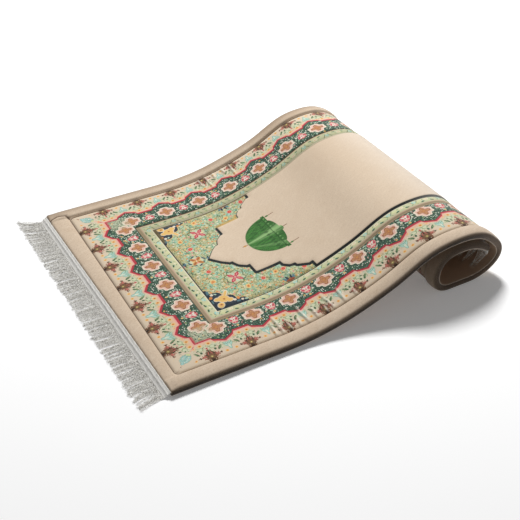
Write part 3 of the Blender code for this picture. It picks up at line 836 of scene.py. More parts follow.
# %% Cream border
def cream_border(board, paint, inset, phase, across, flat):
    """Cream ground with a bud on each repeat, leaves and small orange blooms."""
    warm = board.band(inset, 43.0, 62.0, 3.0) * board.rise(board.noise(flat, 22.0), 0.3, 0.6)
    paint = board.mix(paint, PEACH, warm * 0.62)
    # pale curls and fine specks of leaf between the motifs
    zone = board.band(inset, 24.0, 50.0, 3.0)
    paint = board.mix(paint, SAGE_PALE, zone * board.rise(board.noise(flat, 17.0), 0.38, 0.6) * 0.8)
    curl = board.noise(flat, 9.0, detail=1.0)
    paint = board.mix(paint, OLIVE, board.band(curl, 0.486, 0.502, 0.010) * zone * 0.6)
    curl = board.noise(board.shift(flat, 70.0, 40.0), 6.0, detail=1.0)
    paint = board.mix(paint, LEAF, board.band(curl, 0.488, 0.504, 0.010) * zone * 0.6)
    spot, tone = board.cells(flat, 5.6)
    tone, other = board.parts_of(tone)
    speck = board.rise(spot, 0.33, 0.20) * zone * board.number("GREATER_THAN", tone, 0.5)
    colours = board.palette(other, (
        (0.0, LEAF), (0.3, PALE_PRINT_AND_HIGHLIGHT), (0.55, OLIVE), (0.76, PINK), (0.88, AQUA),
    ))
    paint = board.mix(paint, colours, speck * 0.7)
    tile = (phase, inset)
    paint = laid(board, paint, tile, (
        (28.0, 38.5, 6.6, 5.6, 0, SAGE_PALE),
        (28.0, 38.5, 6.0, 5.0, 0, LEAF),
        (27.6, 38.7, 5.0, 4.0, 0, SAGE_PALE),
        (17.0, 29.5, 6.9, 2.4, -54, LEAF_DARK),
        (15.6, 30.5, 5.0, 1.0, -54, LEAF),
        (26.4, 29.0, 2.1, 3.3, 0, LEAF_DARK),
        (22.5, 37.5, 3.0, 1.1, 20, LEAF_DARK),
        (34.5, 42.0, 3.0, 1.0, 40, LEAF),
        (19.8, 15.6, 1.4, 2.6, 20, LEAF_DARK),
        (31.4, 49.5, 4.2, 4.2, 0, YELLOW),
        (31.4, 49.5, 2.6, 2.6, 0, ORANGE),
        (31.4, 49.5, 1.0, 1.0, 0, RUST),
        (18.5, 47.5, 3.0, 3.0, 0, YELLOW),
        (18.5, 47.5, 1.5, 1.5, 0, ORANGE),
        (9.4, 12.8, 3.6, 3.6, 0, YELLOW),
        (9.4, 12.8, 2.0, 2.0, 0, ORANGE),
    ))
    # a pale bud, wider on the short sides, pointing to the seam
    bud = (phase * (1.16 - across * 0.36), inset)
    return laid(board, paint, bud, (
        (4.6, 30.5, 4.4, 8.2, -24, AQUA_DARK),
        (0.0, 29.0, 5.0, 9.4, 0, AQUA_DARK),
        (0.0, 20.0, 3.2, 6.4, 0, AQUA_DARK),
        (4.8, 31.0, 3.4, 7.0, -24, AQUA_PALE),
        (0.0, 29.0, 3.8, 8.2, 0, AQUA_PALE),
        (0.0, 20.5, 2.2, 5.4, 0, AQUA_PALE),
        (3.0, 30.0, 0.7, 7.0, -14, AQUA_DARK),
        (7.2, 34.0, 0.8, 3.4, -40, LEAF),
        (0.0, 33.5, 1.0, 3.6, 0, AQUA_DARK),
        (1.2, 25.0, 0.7, 4.5, -8, PALE_PRINT_AND_HIGHLIGHT),
    ), 0.2)


# %% [markdown]
# A larger bud fills each corner of the cream part, set on the mitre line.

# %% Corner buds
def corner_buds(board, paint, inset, corner, flat):
    """A larger pale bud in each corner of the border, pointing outward."""
    place = (inset, corner)
    paint = board.mix(paint, CREAM, board.oval(place, 26.0, 26.0, 24.0, 20.0, 45.0))
    paint = laid(board, paint, place, (
        (30.0, 30.0, 13.5, 10.0, 45, AQUA_DARK),
        (21.0, 21.0, 5.0, 3.6, 45, AQUA_DARK),
        (30.0, 30.0, 12.4, 9.0, 45, ICE),
        (38.0, 38.0, 4.0, 6.0, 45, AQUA_DARK),
        (38.5, 38.5, 3.0, 4.4, 45, PALE_GREEN),
        (21.0, 21.0, 4.0, 2.6, 45, ICE),
        (31.0, 31.0, 10.0, 0.7, 45, AQUA_DARK),
        (29.0, 35.0, 8.0, 0.7, 58, AQUA_DARK),
        (35.0, 29.0, 8.0, 0.7, 32, AQUA_DARK),
        (33.5, 27.5, 6.0, 0.8, 40, WHITE),
        (27.5, 33.5, 6.0, 0.8, 50, WHITE),
        (18.0, 14.5, 2.2, 1.6, 30, AMBER),
        (36.0, 17.0, 2.2, 3.0, 0, PALE_GREEN),
    ))
    grain = board.noise(flat, 3.4, detail=2.0)
    petals = board.oval(place, 30.0, 30.0, 13.5, 10.0, 45.0)
    paint = board.mix(paint, AQUA_DARK, petals * board.band(grain, 0.47, 0.53, 0.01) * 0.9)
    return board.mix(paint, PALE_PRINT_AND_HIGHLIGHT, petals * board.rise(grain, 0.60, 0.64) * 0.7)


# %% [markdown]
# Between the buds a brown sprig grows inward from the seam. Its ragged outline
# is a four-pointed star whose edge is broken by noise.

# %% Sprigs
def sprigs(board, paint, inset, phase, flat):
    """Brown stars of leaves standing on the seam, halfway between the repeats."""
    beside = HALF_REPEAT - phase
    place = (beside, inset)
    shape = star(board, place, 0.0, 14.5, 21.5, 21.5, 0.72)
    grain = board.noise(flat, 3.0, detail=2.0)
    body = board.rise(shape + (grain - 0.5) * 1.5, 1.10, 0.98)
    leafy = board.mix(SPRIG_BROWN, SPRIG_DARK, board.rise(grain, 0.44, 0.52))
    leafy = board.mix(leafy, OLIVE, board.rise(board.noise(flat, 2.0, detail=1.0), 0.58, 0.66) * 0.7)
    sides = board.rise(beside, 6.5, 11.0)
    leafy = board.mix(leafy, ROSE, sides * 0.5)
    paint = board.mix(paint, leafy, body)
    return laid(board, paint, place, (
        (0.0, 16.0, 4.6, 7.6, 0, SPRIG_BROWN),
        (5.6, 20.0, 4.6, 1.5, -36, SPRIG_DARK),
        (6.2, 10.6, 4.4, 1.5, 28, SPRIG_BROWN),
        (0.0, 1.0, 3.2, 5.0, 0, SPRIG_DARK),
        (6.4, 2.2, 3.6, 1.2, 50, SPRIG_BROWN),
        (12.5, 15.6, 4.0, 1.3, 8, ROSE),
        (19.2, 14.0, 2.0, 1.2, -28, SPRIG_DARK),
        (3.0, 22.5, 0.9, 4.4, 22, ROSE),
        (0.0, 25.0, 1.1, 5.0, 0, SPRIG_DARK),
        (0.0, 11.5, 3.0, 3.2, 0, OLIVE),
        (0.0, 11.5, 1.3, 1.4, 0, YELLOW),
        (0.0, 36.5, 1.8, 3.4, 0, ROSE),
        (0.0, 37.5, 1.1, 1.6, 0, CRIMSON),
    ))


# %% [markdown]
# The inner part of the border is dark green inside a red scalloped line, with
# white sprays, pink flowers and one medallion in each bay of the line.

# %% Medallion band
def medallion_band(board, paint, inset, phase, corner, flat):
    """Dark ground inside a red scalloped line, with a medallion in each bay."""
    line = inset - board.low(phase * 0.57, 11.2) - board.rise(phase, 19.6, 23.8) * 7.4 - 40.2
    paint = board.mix(paint, HALO, board.rise(line, -6.5, -1.5) * 0.62)
    paint = board.mix(paint, PINK, board.band(line, -1.6, 0.4, 0.5) * 0.9)
    paint = board.mix(paint, CRIMSON, board.rise(line, -0.4, 0.4))
    paint = board.mix(paint, ink(92, 52, 52), board.rise(line, 4.4, 5.2))
    cloud = board.noise(flat, 6.0)
    ground = board.mix(NIGHT, TEAL_GREEN, board.rise(cloud, 0.42, 0.62))
    paint = board.mix(paint, ground, board.rise(line, 5.4, 6.2))
    inside = board.rise(line, 6.4, 7.6)
    # white sprays and small flowers on the dark ground
    spray = board.noise(flat, 5.2, detail=1.5)
    pale = board.band(spray, 0.484, 0.502, 0.010) * inside
    paint = board.mix(paint, SPRAY, pale * 0.55)
    spot, tone = board.cells(flat, 4.7)
    tone, other = board.parts_of(tone)
    colours = board.palette(other, ((0.0, WHITE), (0.62, SPRAY), (0.8, LEAF), (0.93, PINK)))
    speck = board.rise(spot, 0.34, 0.22) * inside * board.number("GREATER_THAN", tone, 0.55)
    paint = board.mix(paint, colours, speck)
    spot, tone = board.cells(flat, 12.0)
    tone, other = board.parts_of(tone)
    colours = board.palette(other, ((0.0, TEAL_GREEN), (0.5, OCHRE), (0.62, SPRAY), (0.8, LEAF)))
    flower = board.rise(spot, 0.24, 0.18) * inside * board.number("GREATER_THAN", tone, 0.6)
    paint = board.mix(paint, colours, flower)
    # pale leaf work in the corners
    patch = board.rise(corner, 100.0, 95.0) * board.rise(inset, 62.5, 66.5)
    paint = board.mix(paint, SAGE_PALE, patch * board.rise(cloud, 0.42, 0.56) * 0.6)
    paint = board.mix(paint, TEAL_GREEN, patch * board.band(spray, 0.480, 0.510, 0.012) * 0.8)
    paint = board.mix(paint, ROSE, patch * board.rise(spot, 0.14, 0.08) * 0.7)
    # flowers between the medallions
    place = (HALF_REPEAT - phase, inset)
    paint = laid(board, paint, place, (
        (0.0, 76.0, 0.8, 6.0, 0, LEAF),
        (4.2, 76.5, 4.0, 1.2, 30, SPRAY),
        (0.0, 71.0, 2.4, 2.4, 0, YELLOW),
        (0.0, 71.0, 1.0, 1.0, 0, OCHRE),
        (5.4, 90.5, 4.4, 7.6, -14, PINK),
        (0.0, 89.5, 7.4, 11.6, 0, PINK),
        (6.6, 91.0, 1.6, 5.4, -14, ROSE_DEEP),
        (3.2, 99.0, 2.4, 1.6, -20, CRIMSON),
        (3.2, 81.0, 2.0, 1.8, 24, ROSE_DEEP),
        (3.8, 94.5, 2.4, 2.8, -20, WHITE),
        (3.6, 85.5, 2.2, 2.6, 20, BLUSH),
        (0.0, 90.0, 2.6, 4.6, 0, WHITE),
        (0.0, 90.0, 1.3, 2.4, 0, ROSE_DEEP),
        (4.2, 90.0, 0.6, 4.4, -8, ROSE_DEEP),
        (12.0, 84.0, 2.3, 2.3, 0, WHITE),
        (12.0, 84.0, 0.9, 0.9, 0, OCHRE),
        (11.6, 98.0, 3.0, 1.2, 30, SPRAY),
        (14.5, 91.0, 0.8, 3.8, -35, SPRAY),
    ))
    return medallions(board, paint, inset, phase, corner, flat)


# %% [markdown]
# Each bay holds one medallion. Its lobes are a cosine round its middle, which
# keeps them even where ovals would need eight copies, and noise roughens them.

# %% Medallions
MEDALLION_INSET = 86.5


def medallions(board, paint, inset, phase, corner, flat):
    """Pointed cream medallions of eight lobes round a tan star of four points."""
    ahead = inset - MEDALLION_INSET
    angle = board.number("ARCTAN2", ahead, phase)
    grain = board.noise(flat, 2.4, detail=2.0)
    shape = (abs(ahead) / 22.5) ** 1.4 + (phase / 22.0) ** 1.1 + (grain - 0.5) * 0.35
    shape = shape + board.number("COSINE", angle * 8.0) * 0.12
    paint = board.mix(paint, NIGHT, board.rise(shape, 1.16, 1.06) * 0.8)
    paint = board.mix(paint, MEDALLION_WHITE, board.rise(shape, 1.03, 0.95))
    paint = board.mix(paint, BLUSH, board.rise(shape, 0.86, 0.76))
    blush = board.band(shape, 0.60, 0.70, 0.03) * board.rise(grain, 0.45, 0.55)
    paint = board.mix(paint, PINK, blush * 0.6)
    reach = board.number("SQRT", ahead * ahead + phase * phase)
    points = reach / (board.number("COSINE", angle * 4.0) * 3.3 + 10.8) + grain * 0.4
    paint = board.mix(paint, STAR_EDGE, board.rise(points, 1.32, 1.22))
    paint = board.mix(paint, GOLD, board.rise(points, 1.10, 1.00))
    paint = board.mix(paint, RUST, board.rise(grain, 0.44, 0.52) * board.rise(points, 0.92, 0.72) * 0.75)
    paint = board.mix(paint, AMBER, board.rise(reach + grain * 3.0, 4.6, 3.4) * 0.8)
    worn = board.rise(corner, 108.0, 102.0) * board.rise(inset, 60.0, 64.0)
    paint = board.mix(paint, SAGE_PALE, worn * board.rise(grain, 0.42, 0.56) * 0.6)
    return board.mix(paint, LEAF_DARK, worn * board.rise(grain, 0.60, 0.66) * 0.6)


# %% [markdown]
# A narrow quilted strip frames the inner panels. It has a piped edge, pairs of
# leaves and crossed twigs, and a dark seam on its inner side. A painted
# highlight runs along its inner edge, and painted shade darkens it on the far side.

# %% Narrow strip
def strip(board, paint, panel, u, y, across, flat):
    """Narrow green band between two seams: piping, pairs of leaves, crossed twigs, a painted highlight and,
    on the far side, painted shade.
    """
    over = panel - STRIP_INSET * MM
    wide = STRIP_WIDTH * MM
    shown = board.rise(over, -0.4, 0.2)
    paint = board.mix(paint, PIPING, shown)
    paint = board.mix(paint, BLUSH, board.band(over, 5.8, 7.6, 0.5) * 0.6)
    ground = board.mix(SAGE, PALE_GREEN, board.rise(board.noise(flat, 14.0), 0.45, 0.65) * 0.5)
    ground = board.mix(ground, BEIGE, board.rise(board.noise(flat, 9.0), 0.50, 0.7) * 0.7)
    paint = board.mix(paint, ground, board.rise(over, 7.0, 8.4))
    along = board.wrap(u, 66.5, 332.5)
    crossing = board.wrap(y, 59.7, -12.0)
    at = along + (crossing - along) * across
    beside = abs(at)
    twig = abs(over - beside * 1.33 - 9.7 + across * (abs(at) - at) * 0.66)
    twigs = board.rise(twig, 1.8, 0.9) * board.band(beside, 3.0, 13.5, 0.8)
    paint = board.mix(paint, LEAF_DARK, twigs * 0.9)
    paint = laid(board, paint, (beside, over), (
        (0.0, 19.0, 5.0, 4.4, 0, AQUA_PALE),
        (2.6, 19.8, 1.8, 2.4, 30, AQUA),
        (0.0, 18.6, 1.3, 1.3, 0, YELLOW),
        (7.0, 11.6, 2.6, 0.8, -30, LEAF),
        (21.0, 12.4, 4.8, 1.7, 12, LEAF_DARK),
        (22.0, 14.6, 2.0, 1.2, 12, AQUA_DARK),
        (24.0, 20.5, 2.8, 0.9, 35, LEAF),
        (31.5, 18.5, 3.2, 3.0, 0, PALE_PRINT_AND_HIGHLIGHT),
        (31.5, 18.5, 1.2, 1.2, 0, AMBER),
    ))
    # painted highlight along the strip's inner edge
    paint = board.mix(paint, PALE_PRINT_AND_HIGHLIGHT, board.rise(over, wide - 4.4, wide - 2.6) * 0.85)
    # painted shade over the strip on the far side
    paint = board.mix(paint, ink(104, 104, 60), shown * board.rise(y, 120.0, 140.0) * 0.22)
    return board.mix(paint, BROWN_SEAM, board.band(over, -1.6, 0.4, 0.6) * 0.9)


print("strip:", round(STRIP_WIDTH * MM, 1), "mm wide")

# %% [markdown]
# The strip's inner seam is printed dark, and on the near side of the field the
# dark line is broad. On the far side an olive painted shade lies beside it.

# %% Seam inside the strip
def inner_edges(board, paint, panel, u, y):
    """The dark seam inside the strip, broad along the near side of the field, with olive painted shade
    beside it on the far side.
    """
    over = panel - (STRIP_INSET + STRIP_WIDTH) * MM
    far = board.rise(y, 100.0, 110.0)
    near_field = board.rise(y, -100.0, -110.0) * board.rise(u, 462.0, 466.0)
    paint = board.mix(paint, OUTLINE, board.band(over, -1.0, 1.2, 0.5))
    # painted shade: olive beside the seam on the far side
    paint = board.mix(paint, ink(116, 100, 62), board.band(over, -0.5, 5.5, 2.0) * far * 0.8)
    return board.mix(paint, OUTLINE, board.band(over, -0.5, 4.0, 0.7) * near_field)


# %% [markdown]
# Inside the strip the corner panels are filled with small flowers and scrolls.
# The scrolls are thin bands of a noise, which wind as a drawn scroll does, and
# the smallest flowers are scattered cells. Only the larger ones are placed.

# %% Corner panels
PANEL_SCROLL = ink(92, 122, 84)
BERRY_RED = ink(204, 74, 64)
ROSETTE_LINE = (294.0, 3.25, 95.75)
BLOSSOMS = ((241.0, 87.5), (305.0, 144.0), (381.0, 117.5), (305.0, -136.0), (241.0, -85.0), (381.0, -128.0))
BERRIES = (
    (250.0, -47.0), (250.0, 50.5), (347.5, -130.0), (347.5, 134.0),
    (401.0, -130.0), (402.0, 134.0), (443.0, -155.0), (443.0, 150.0),
)


def scattered(board, place, spots):
    """Distance to the nearest of a few places."""
    nearest = 1e6
    for x, y in spots:
        aside = place[1] - y
        ahead = place[0] - x
        nearest = board.low(board.number("MULTIPLY_ADD", ahead, ahead, aside * aside), nearest)
    return board.number("SQRT", nearest)


def corner_panels(board, flat, u, y):
    """Scrolls and small flowers on a light green ground."""
    cloud = board.noise(flat, 15.0, detail=1.5)
    paint = board.palette(cloud, (
        (0.36, ink(146, 190, 166)), (0.45, ink(176, 198, 160)),
        (0.54, ink(198, 200, 160)), (0.66, ink(202, 184, 134)),
    ), hard=False)
    beside = board.rise(abs(y - PANEL_MIDDLE * MM), 140.0, 172.0)
    near_strip = board.high(board.rise(u, 236.0, 206.0), beside)
    paint = board.mix(paint, OCHRE, near_strip * 0.42)
    scroll = board.noise(flat, 12.0, detail=1.0)
    paint = board.mix(paint, OLIVE, board.band(scroll, 0.470, 0.494, 0.008) * 0.7)
    paint = board.mix(paint, LEAF_DARK, board.band(scroll, 0.512, 0.542, 0.008) * 0.95)
    curl = board.noise(board.shift(flat, 300.0, 90.0), 8.0, detail=1.0)
    paint = board.mix(paint, PANEL_SCROLL, board.band(curl, 0.486, 0.514, 0.010) * 0.9)
    small = ((0.0, LEAF), (0.3, PALE_PRINT_AND_HIGHLIGHT), (0.5, OLIVE), (0.7, AQUA_DARK), (0.86, AQUA_PALE))
    large = ((0.0, ORANGE), (0.34, YELLOW), (0.52, AQUA_PALE), (0.66, PINK), (0.78, PALE_PRINT_AND_HIGHLIGHT))
    for size, least, reach, strength, stops in (
        (4.6, 0.55, 0.32, 0.7, small),
        (10.0, 0.34, 0.28, 0.95, large),
    ):
        spot, tone = board.cells(flat, size)
        tone, other = board.parts_of(tone)
        shown = board.number("GREATER_THAN", tone, least) * strength
        petals = board.rise(spot, reach, reach - 0.09) * shown
        paint = board.mix(paint, board.palette(other, stops), petals)
        paint = board.mix(paint, RUST, board.rise(spot, reach * 0.36, reach * 0.2) * shown * 0.6)
    berry = scattered(board, (u, y), BERRIES)
    paint = board.mix(paint, PINK, board.rise(berry + cloud * 5.0, 9.4, 8.2) * 0.8)
    paint = board.mix(paint, BERRY_RED, board.rise(berry + cloud * 4.0, 7.4, 6.0))
    paint = board.mix(paint, ORANGE, board.rise(berry, 1.8, 1.0))
    bloom = scattered(board, (u, y), BLOSSOMS)
    paint = board.mix(paint, YELLOW, board.rise(bloom + scroll * 8.0, 11.6, 10.0))
    paint = board.mix(paint, ORANGE, board.rise(bloom + scroll * 6.0, 7.6, 6.4) * 0.9)
    paint = board.mix(paint, RUST, board.rise(bloom, 1.8, 1.0))
    return corner_flowers(board, rosettes(board, paint, u, y), u, y)


# %% [markdown]
# Two crimson flowers stand in the panels, each in a ring of scrolls. The rings
# are cosines round the flower's middle, as the medallions' lobes are.

# %% Crimson flowers
def rosettes(board, paint, u, y):
    """Crimson flowers of four petals set cornerwise inside a ring of scrolls."""
    ahead = u - ROSETTE_LINE[0]
    aside = abs(y - ROSETTE_LINE[1]) - ROSETTE_LINE[2]
    far = board.number("SQRT", ahead * ahead + aside * aside)
    angle = board.number("ARCTAN2", aside, ahead)
    ring = far + board.number("COSINE", angle * 8.0) * 2.6
    paint = board.mix(paint, SAGE_PALE, board.rise(far, 22.0, 17.0) * 0.7)
    paint = board.mix(paint, LEAF_DARK, board.band(ring, 21.6, 24.0, 0.6) * 0.9)
    ring = far + board.number("COSINE", angle * 5.0 + 0.8) * 3.4
    paint = board.mix(paint, OLIVE, board.band(ring, 26.4, 28.2, 0.7) * 0.8)
    paint = board.mix(paint, LEAF, board.band(ring, 18.6, 19.8, 0.6) * 0.7)
    place = (abs(ahead), abs(aside))
    return laid(board, paint, place, (
        (7.6, 7.6, 8.6, 5.2, 45, BLUSH),
        (0.0, 0.0, 9.0, 9.0, 0, BLUSH),
        (7.8, 7.8, 7.6, 4.2, 45, ROSE_DEEP),
        (12.6, 12.6, 2.4, 2.4, 0, CRIMSON),
        (7.6, 7.6, 5.4, 0.9, 45, PINK),
        (10.0, 5.0, 3.0, 1.0, 20, CRIMSON),
        (5.0, 10.0, 1.0, 3.0, -20, CRIMSON),
        (0.0, 0.0, 5.0, 5.0, 0, ROSE_DEEP),
        (0.0, 0.0, 2.6, 2.6, 0, BLUSH),
        (0.0, 0.0, 1.0, 1.0, 0, RUST),
        (0.0, 12.5, 2.0, 2.6, 0, AQUA_PALE),
        (12.5, 0.0, 2.6, 2.0, 0, YELLOW),
    ), 0.12)


# %% [markdown]
# A golden flower lies over navy in each corner of the panels, with a lozenge
# between them under the point of the arch.

# %% Corner flowers
def corner_flowers(board, paint, u, y):
    """Golden flowers over navy in the corners, and a lozenge in the middle."""
    side = abs(y - FIELD_MIDDLE * MM)
    # navy triangle with a scalloped edge across the corner
    cut = (u - 207.0) + (171.0 - side) * 1.16
    run = u - 207.0 - (171.0 - side) * 0.9
    scallop = abs(board.number("SINE", run * 0.075)) * 15.0
    corner = board.number("LESS_THAN", u, 300.0) * board.rise(side, 84.0, 88.0)
    paint = board.mix(paint, YELLOW, board.rise(cut - scallop, 76.0, 74.0) * corner * 0.8)
    paint = board.mix(paint, NAVY, board.rise(cut - scallop, 72.5, 71.0) * corner)
    place = (u, side)
    paint = laid(board, paint, place, (
        (212.0, 110.0, 3.0, 7.0, 10, BLUE_GREY),
        (217.0, 121.0, 3.6, 3.6, 0, MEDALLION_WHITE),
        (211.0, 129.0, 3.6, 4.4, 0, ORANGE),
        (220.0, 112.0, 2.4, 2.4, 0, ORANGE),
        (225.0, 122.0, 3.4, 2.2, 40, SPRAY),
        (209.5, 143.0, 1.6, 6.0, 0, BLUE_GREY),
        (262.0, 165.0, 4.6, 2.6, 0, BLUE_GREY),
        (256.0, 158.0, 3.8, 3.4, 0, MEDALLION_WHITE),
        (265.0, 157.0, 3.6, 3.0, 0, ORANGE),
        (272.0, 164.0, 3.2, 3.0, 0, MEDALLION_WHITE),
        (281.0, 166.0, 4.6, 2.6, 0, SPRAY),
        (276.0, 156.0, 2.4, 2.4, 0, OCHRE),
        (235.0, 144.0, 13.6, 12.6, 0, MEDALLION_WHITE),
        (221.0, 161.0, 9.6, 8.2, -40, MEDALLION_WHITE),
        (247.0, 128.0, 11.0, 4.8, -53, MEDALLION_WHITE),
        (221.5, 141.0, 8.6, 6.8, 0, MEDALLION_WHITE),
        (246.5, 152.5, 8.8, 7.2, 0, MEDALLION_WHITE),
        (235.0, 144.0, 12.2, 11.2, 0, GOLDEN),
        (221.0, 161.0, 8.2, 6.8, -40, GOLDEN),
        (246.0, 129.0, 9.6, 3.4, -53, GOLDEN),
        (221.5, 141.0, 7.2, 5.4, 0, GOLDEN),
        (246.5, 152.5, 7.4, 5.8, 0, GOLDEN),
        (236.0, 145.0, 3.0, 3.0, 0, AMBER),
        (236.0, 145.0, 1.5, 1.5, 0, RUST),
        (222.0, 160.0, 3.6, 3.0, 0, AMBER),
        (222.0, 160.0, 1.8, 1.6, 0, RUST),
        (386.0, 163.0, 8.0, 3.2, 64, BLUE_GREY),
        (406.0, 163.0, 8.0, 3.2, 116, BLUE_GREY),
        (391.0, 160.0, 8.0, 2.6, 80, NAVY),
        (401.0, 160.0, 8.0, 2.6, 100, NAVY),
        (396.0, 167.0, 11.0, 3.2, 0, RUST),
    ), 0.1)
    # lozenge of broken blue arcs round a brown flower
    ahead, aside = u - 243.5, y - 2.5
    loz = (abs(ahead) / 18.5) ** 1.3 + (abs(aside) / 17.0) ** 1.3
    gaps = board.number("SINE", board.number("ARCTAN2", aside, ahead) * 8.0)
    paint = board.mix(paint, SAGE_PALE, board.rise(loz, 1.0, 0.9))
    arcs = board.band(loz, 0.98, 1.34, 0.06) * board.rise(gaps, -0.7, -0.4)
    paint = board.mix(paint, BLUE_GREY, arcs)
    paint = board.mix(paint, NAVY, board.band(loz, 1.06, 1.28, 0.04) * board.rise(gaps, -0.3, 0.1))
    fold = (abs(ahead), abs(aside))
    return laid(board, paint, fold, (
        (6.6, 6.6, 8.2, 4.8, 45, AMBER),
        (7.0, 7.0, 5.4, 1.8, 45, RUST),
        (8.5, 0.0, 3.4, 2.0, 0, YELLOW),
        (0.0, 8.0, 2.0, 3.2, 0, PINK),
        (0.0, 0.0, 4.0, 4.0, 0, AMBER),
        (0.0, 0.0, 1.8, 1.8, 0, PALE_PRINT_AND_HIGHLIGHT),
        (31.0, 1.0, 4.4, 2.6, 0, BLUE_GREY),
        (31.0, 4.5, 2.2, 2.6, 30, NAVY),
    ), 0.14)


# %% [markdown]
# The arched field is plain but for a hanging lamp in green satin. The satin is
# a stretched noise with two bands of light, spreading from the lamp's foot.

# %% Hanging lamp
LAMP_MIDDLE = -10.0
LAMP_FOOT = 352.0


def lamp(board, paint, u, y, flat):
    """A wide hanging lamp in green satin: ribbed dome, rim, shallow bowl and rods."""
    across = y - LAMP_MIDDLE
    side = abs(across)
    place = (side, u)
    spread = board.number("ARCTAN2", across, u - LAMP_FOOT)
    sheen = board.noise(board.shift(flat, 0.0, 0.0, scale=(4.0, 1.0, 1.0)), 4.0)
    green = board.mix(LAMP_GREEN, LAMP_DARK, board.rise(sheen, 0.40, 0.62) * 0.6)
    green = board.mix(green, LAMP_DARK, board.rise(u, 425.0, 470.0) * 0.4)
    light = board.band(spread, -0.02, 0.16, 0.10) * 0.85
    light = light + board.band(spread, -0.50, -0.40, 0.08) * 0.3
    green = board.mix(green, LAMP_LIGHT, light)
    ribs = board.rise(board.number("COSINE", spread * 34.0), 0.72, 0.98)
    green = board.mix(green, LAMP_DARK, ribs * 0.55)
    rod = board.rise(side, 1.3, 0.7) * board.band(u, 360.0, 487.0)
    drop = board.rise(abs(side - 61.0), 1.2, 0.6) * board.band(u, 455.0, 484.0)
    paint = board.mix(paint, SPRIG_BROWN, board.high(rod, drop))
    paint = board.mix(paint, AMBER, board.oval(place, 0.0, 367.0, 2.6, 4.6))
    dome = board.oval(place, 0.0, 452.0, 65.0, 76.0, 0, 0.02) * board.rise(u, 452.6, 452.0)
    bowl = board.oval(place, 0.0, 456.0, 46.0, 14.0, 0, 0.04) * board.rise(u, 456.0, 456.6)
    rim = board.band(u, 449.0, 458.0, 0.4) * board.rise(side, 69.0, 68.2)
    foot = board.oval(place, 0.0, 471.5, 8.0, 4.5, 0, 0.1)
    beads = board.oval(place, 61.0, 464.0, 2.6, 4.2, 0, 0.1)
    body = board.high(board.high(dome, bowl), board.high(board.high(rim, foot), beads))
    paint = board.mix(paint, green, body)
    paint = board.mix(paint, LAMP_DARK, board.band(u, 447.4, 449.4, 0.4) * body * 0.7)
    pitch = abs(board.wrap(across, 11.5, 0.0))
    paint = board.mix(paint, LAMP_LIGHT, board.oval((pitch, u), 0.0, 453.5, 2.2, 2.2, 0, 0.2) * body * 0.45)
    diamond = star(board, (pitch, u), 0.0, 434.0, 4.6, 8.0, 1.0)
    return board.mix(paint, LAMP_DARK, board.rise(diamond, 1.05, 0.85) * dome * 0.6)


# %% [markdown]
# ## The velvet
# Short pile is too fine to model as hairs over a whole rug, so it is a plain
# beige with fine grain, a bump and a soft sheen. It is brushed unevenly, so its
# tone drifts. Shade is painted in on the sides, the far edge, under the roll and
# up the crest, and a painted highlight makes it paler over the crest.

# %% Velvet pile
PILE_SHADE = ink(198, 175, 150)
PILE_ROOT = ink(140, 116, 92)
PILE_STREAK = ink(240, 226, 206)
CREST_PAINTED_SHADE = ink(170, 146, 120)
PILE_TIP = ink(228, 214, 194)
PUCKER_HIGHLIGHT = ink(240, 234, 218)
PUCKER_SHADE = ink(96, 78, 62)


def plain_pile(board, flat, u, y):
    """Beige pile, brushed unevenly, with painted shade on the way up the crest."""
    brushed = board.noise(flat, 46.0, detail=3.0)
    plain = board.mix(BEIGE, PILE_SHADE, board.rise(brushed, 0.42, 0.72) * 0.4)
    speckle = board.noise(flat, 3.4, detail=4.0, rough=0.85)
    plain = board.mix(plain, PILE_ROOT, board.rise(speckle, 0.46, 0.64) * 0.34)
    slanted = board.shift(flat, 0.0, 0.0, turn=28.0, scale=(2.6, 1.0, 1.0))
    streaks = board.noise(slanted, 7.0, detail=3.0)
    plain = board.mix(plain, PILE_STREAK, board.rise(streaks, 0.50, 0.70) * 0.14)
    # painted shade: darker on the way up the crest, more toward the far side
    climb_painted_shade = board.band(u, 600.0, 770.0, 70.0) * board.rise(y, -90.0, 130.0)
    return board.mix(plain, CREST_PAINTED_SHADE, climb_painted_shade * 0.3)


def painted_pile_shade_and_highlight(board, paint, u, y, panel):
    """Painted shade on the sides, the far edge and under the roll; a painted highlight over the crest."""
    rolled = board.rise(u, 770.0, 850.0)
    side = abs(y)
    # painted shade: sides, far edge and under the roll darker, a lighter tan on the sides in the roll
    for colour, share in (
        (ink(86, 69, 54), board.rise(side, 341.5, 350.5) * 0.9),
        (ink(44, 38, 34), board.rise(side, 349.0, 354.0) * (0.94 - rolled * 0.55)),
        (ink(120, 100, 84), board.rise(side, 346.0, 350.0) * rolled * 0.3),
        (ink(70, 58, 48), board.rise(u, 900.0, 990.0) * 0.5),
        (ink(96, 72, 50), board.rise(y, 318.0, 344.0) * 0.5),
        (ink(48, 38, 30), board.rise(u, 1040.0, 1110.0) * 0.4),
    ):
        paint = board.mix(paint, colour, share)
    # painted highlight: paler over the crest, most of all in the field
    crest_highlight_zone = board.rise(u, 700.0, 820.0) * board.rise(u, 930.0, 860.0)
    in_field = board.rise(panel, 134.0, 139.0) * 0.20 + 0.04
    return board.mix(paint, ink(236, 234, 230), crest_highlight_zone * in_field)


def pile_tips_and_painted_pucker_light(board, paint, flat):
    """The pile's tips lighten the print; each pucker gets a painted highlight, with painted shade beside
    it.
    """
    pile = board.noise(flat, 1.3, detail=2.0)
    paint = board.mix(paint, PILE_TIP, board.rise(pile, 0.45, 0.75) * 0.14)
    # painted shade beside each pucker, then a painted highlight on its top
    pucker_shade_mask = board.rise(stored(board, "beside_pucker"), 0.25, 0.9)
    paint = board.mix(paint, PUCKER_SHADE, pucker_shade_mask * 0.46)
    pucker_highlight_mask = board.rise(stored(board, "pucker"), 0.30, 1.05) * board.rise(pile, 0.25, 0.60)
    return board.mix(paint, PUCKER_HIGHLIGHT, pucker_highlight_mask * 0.78)
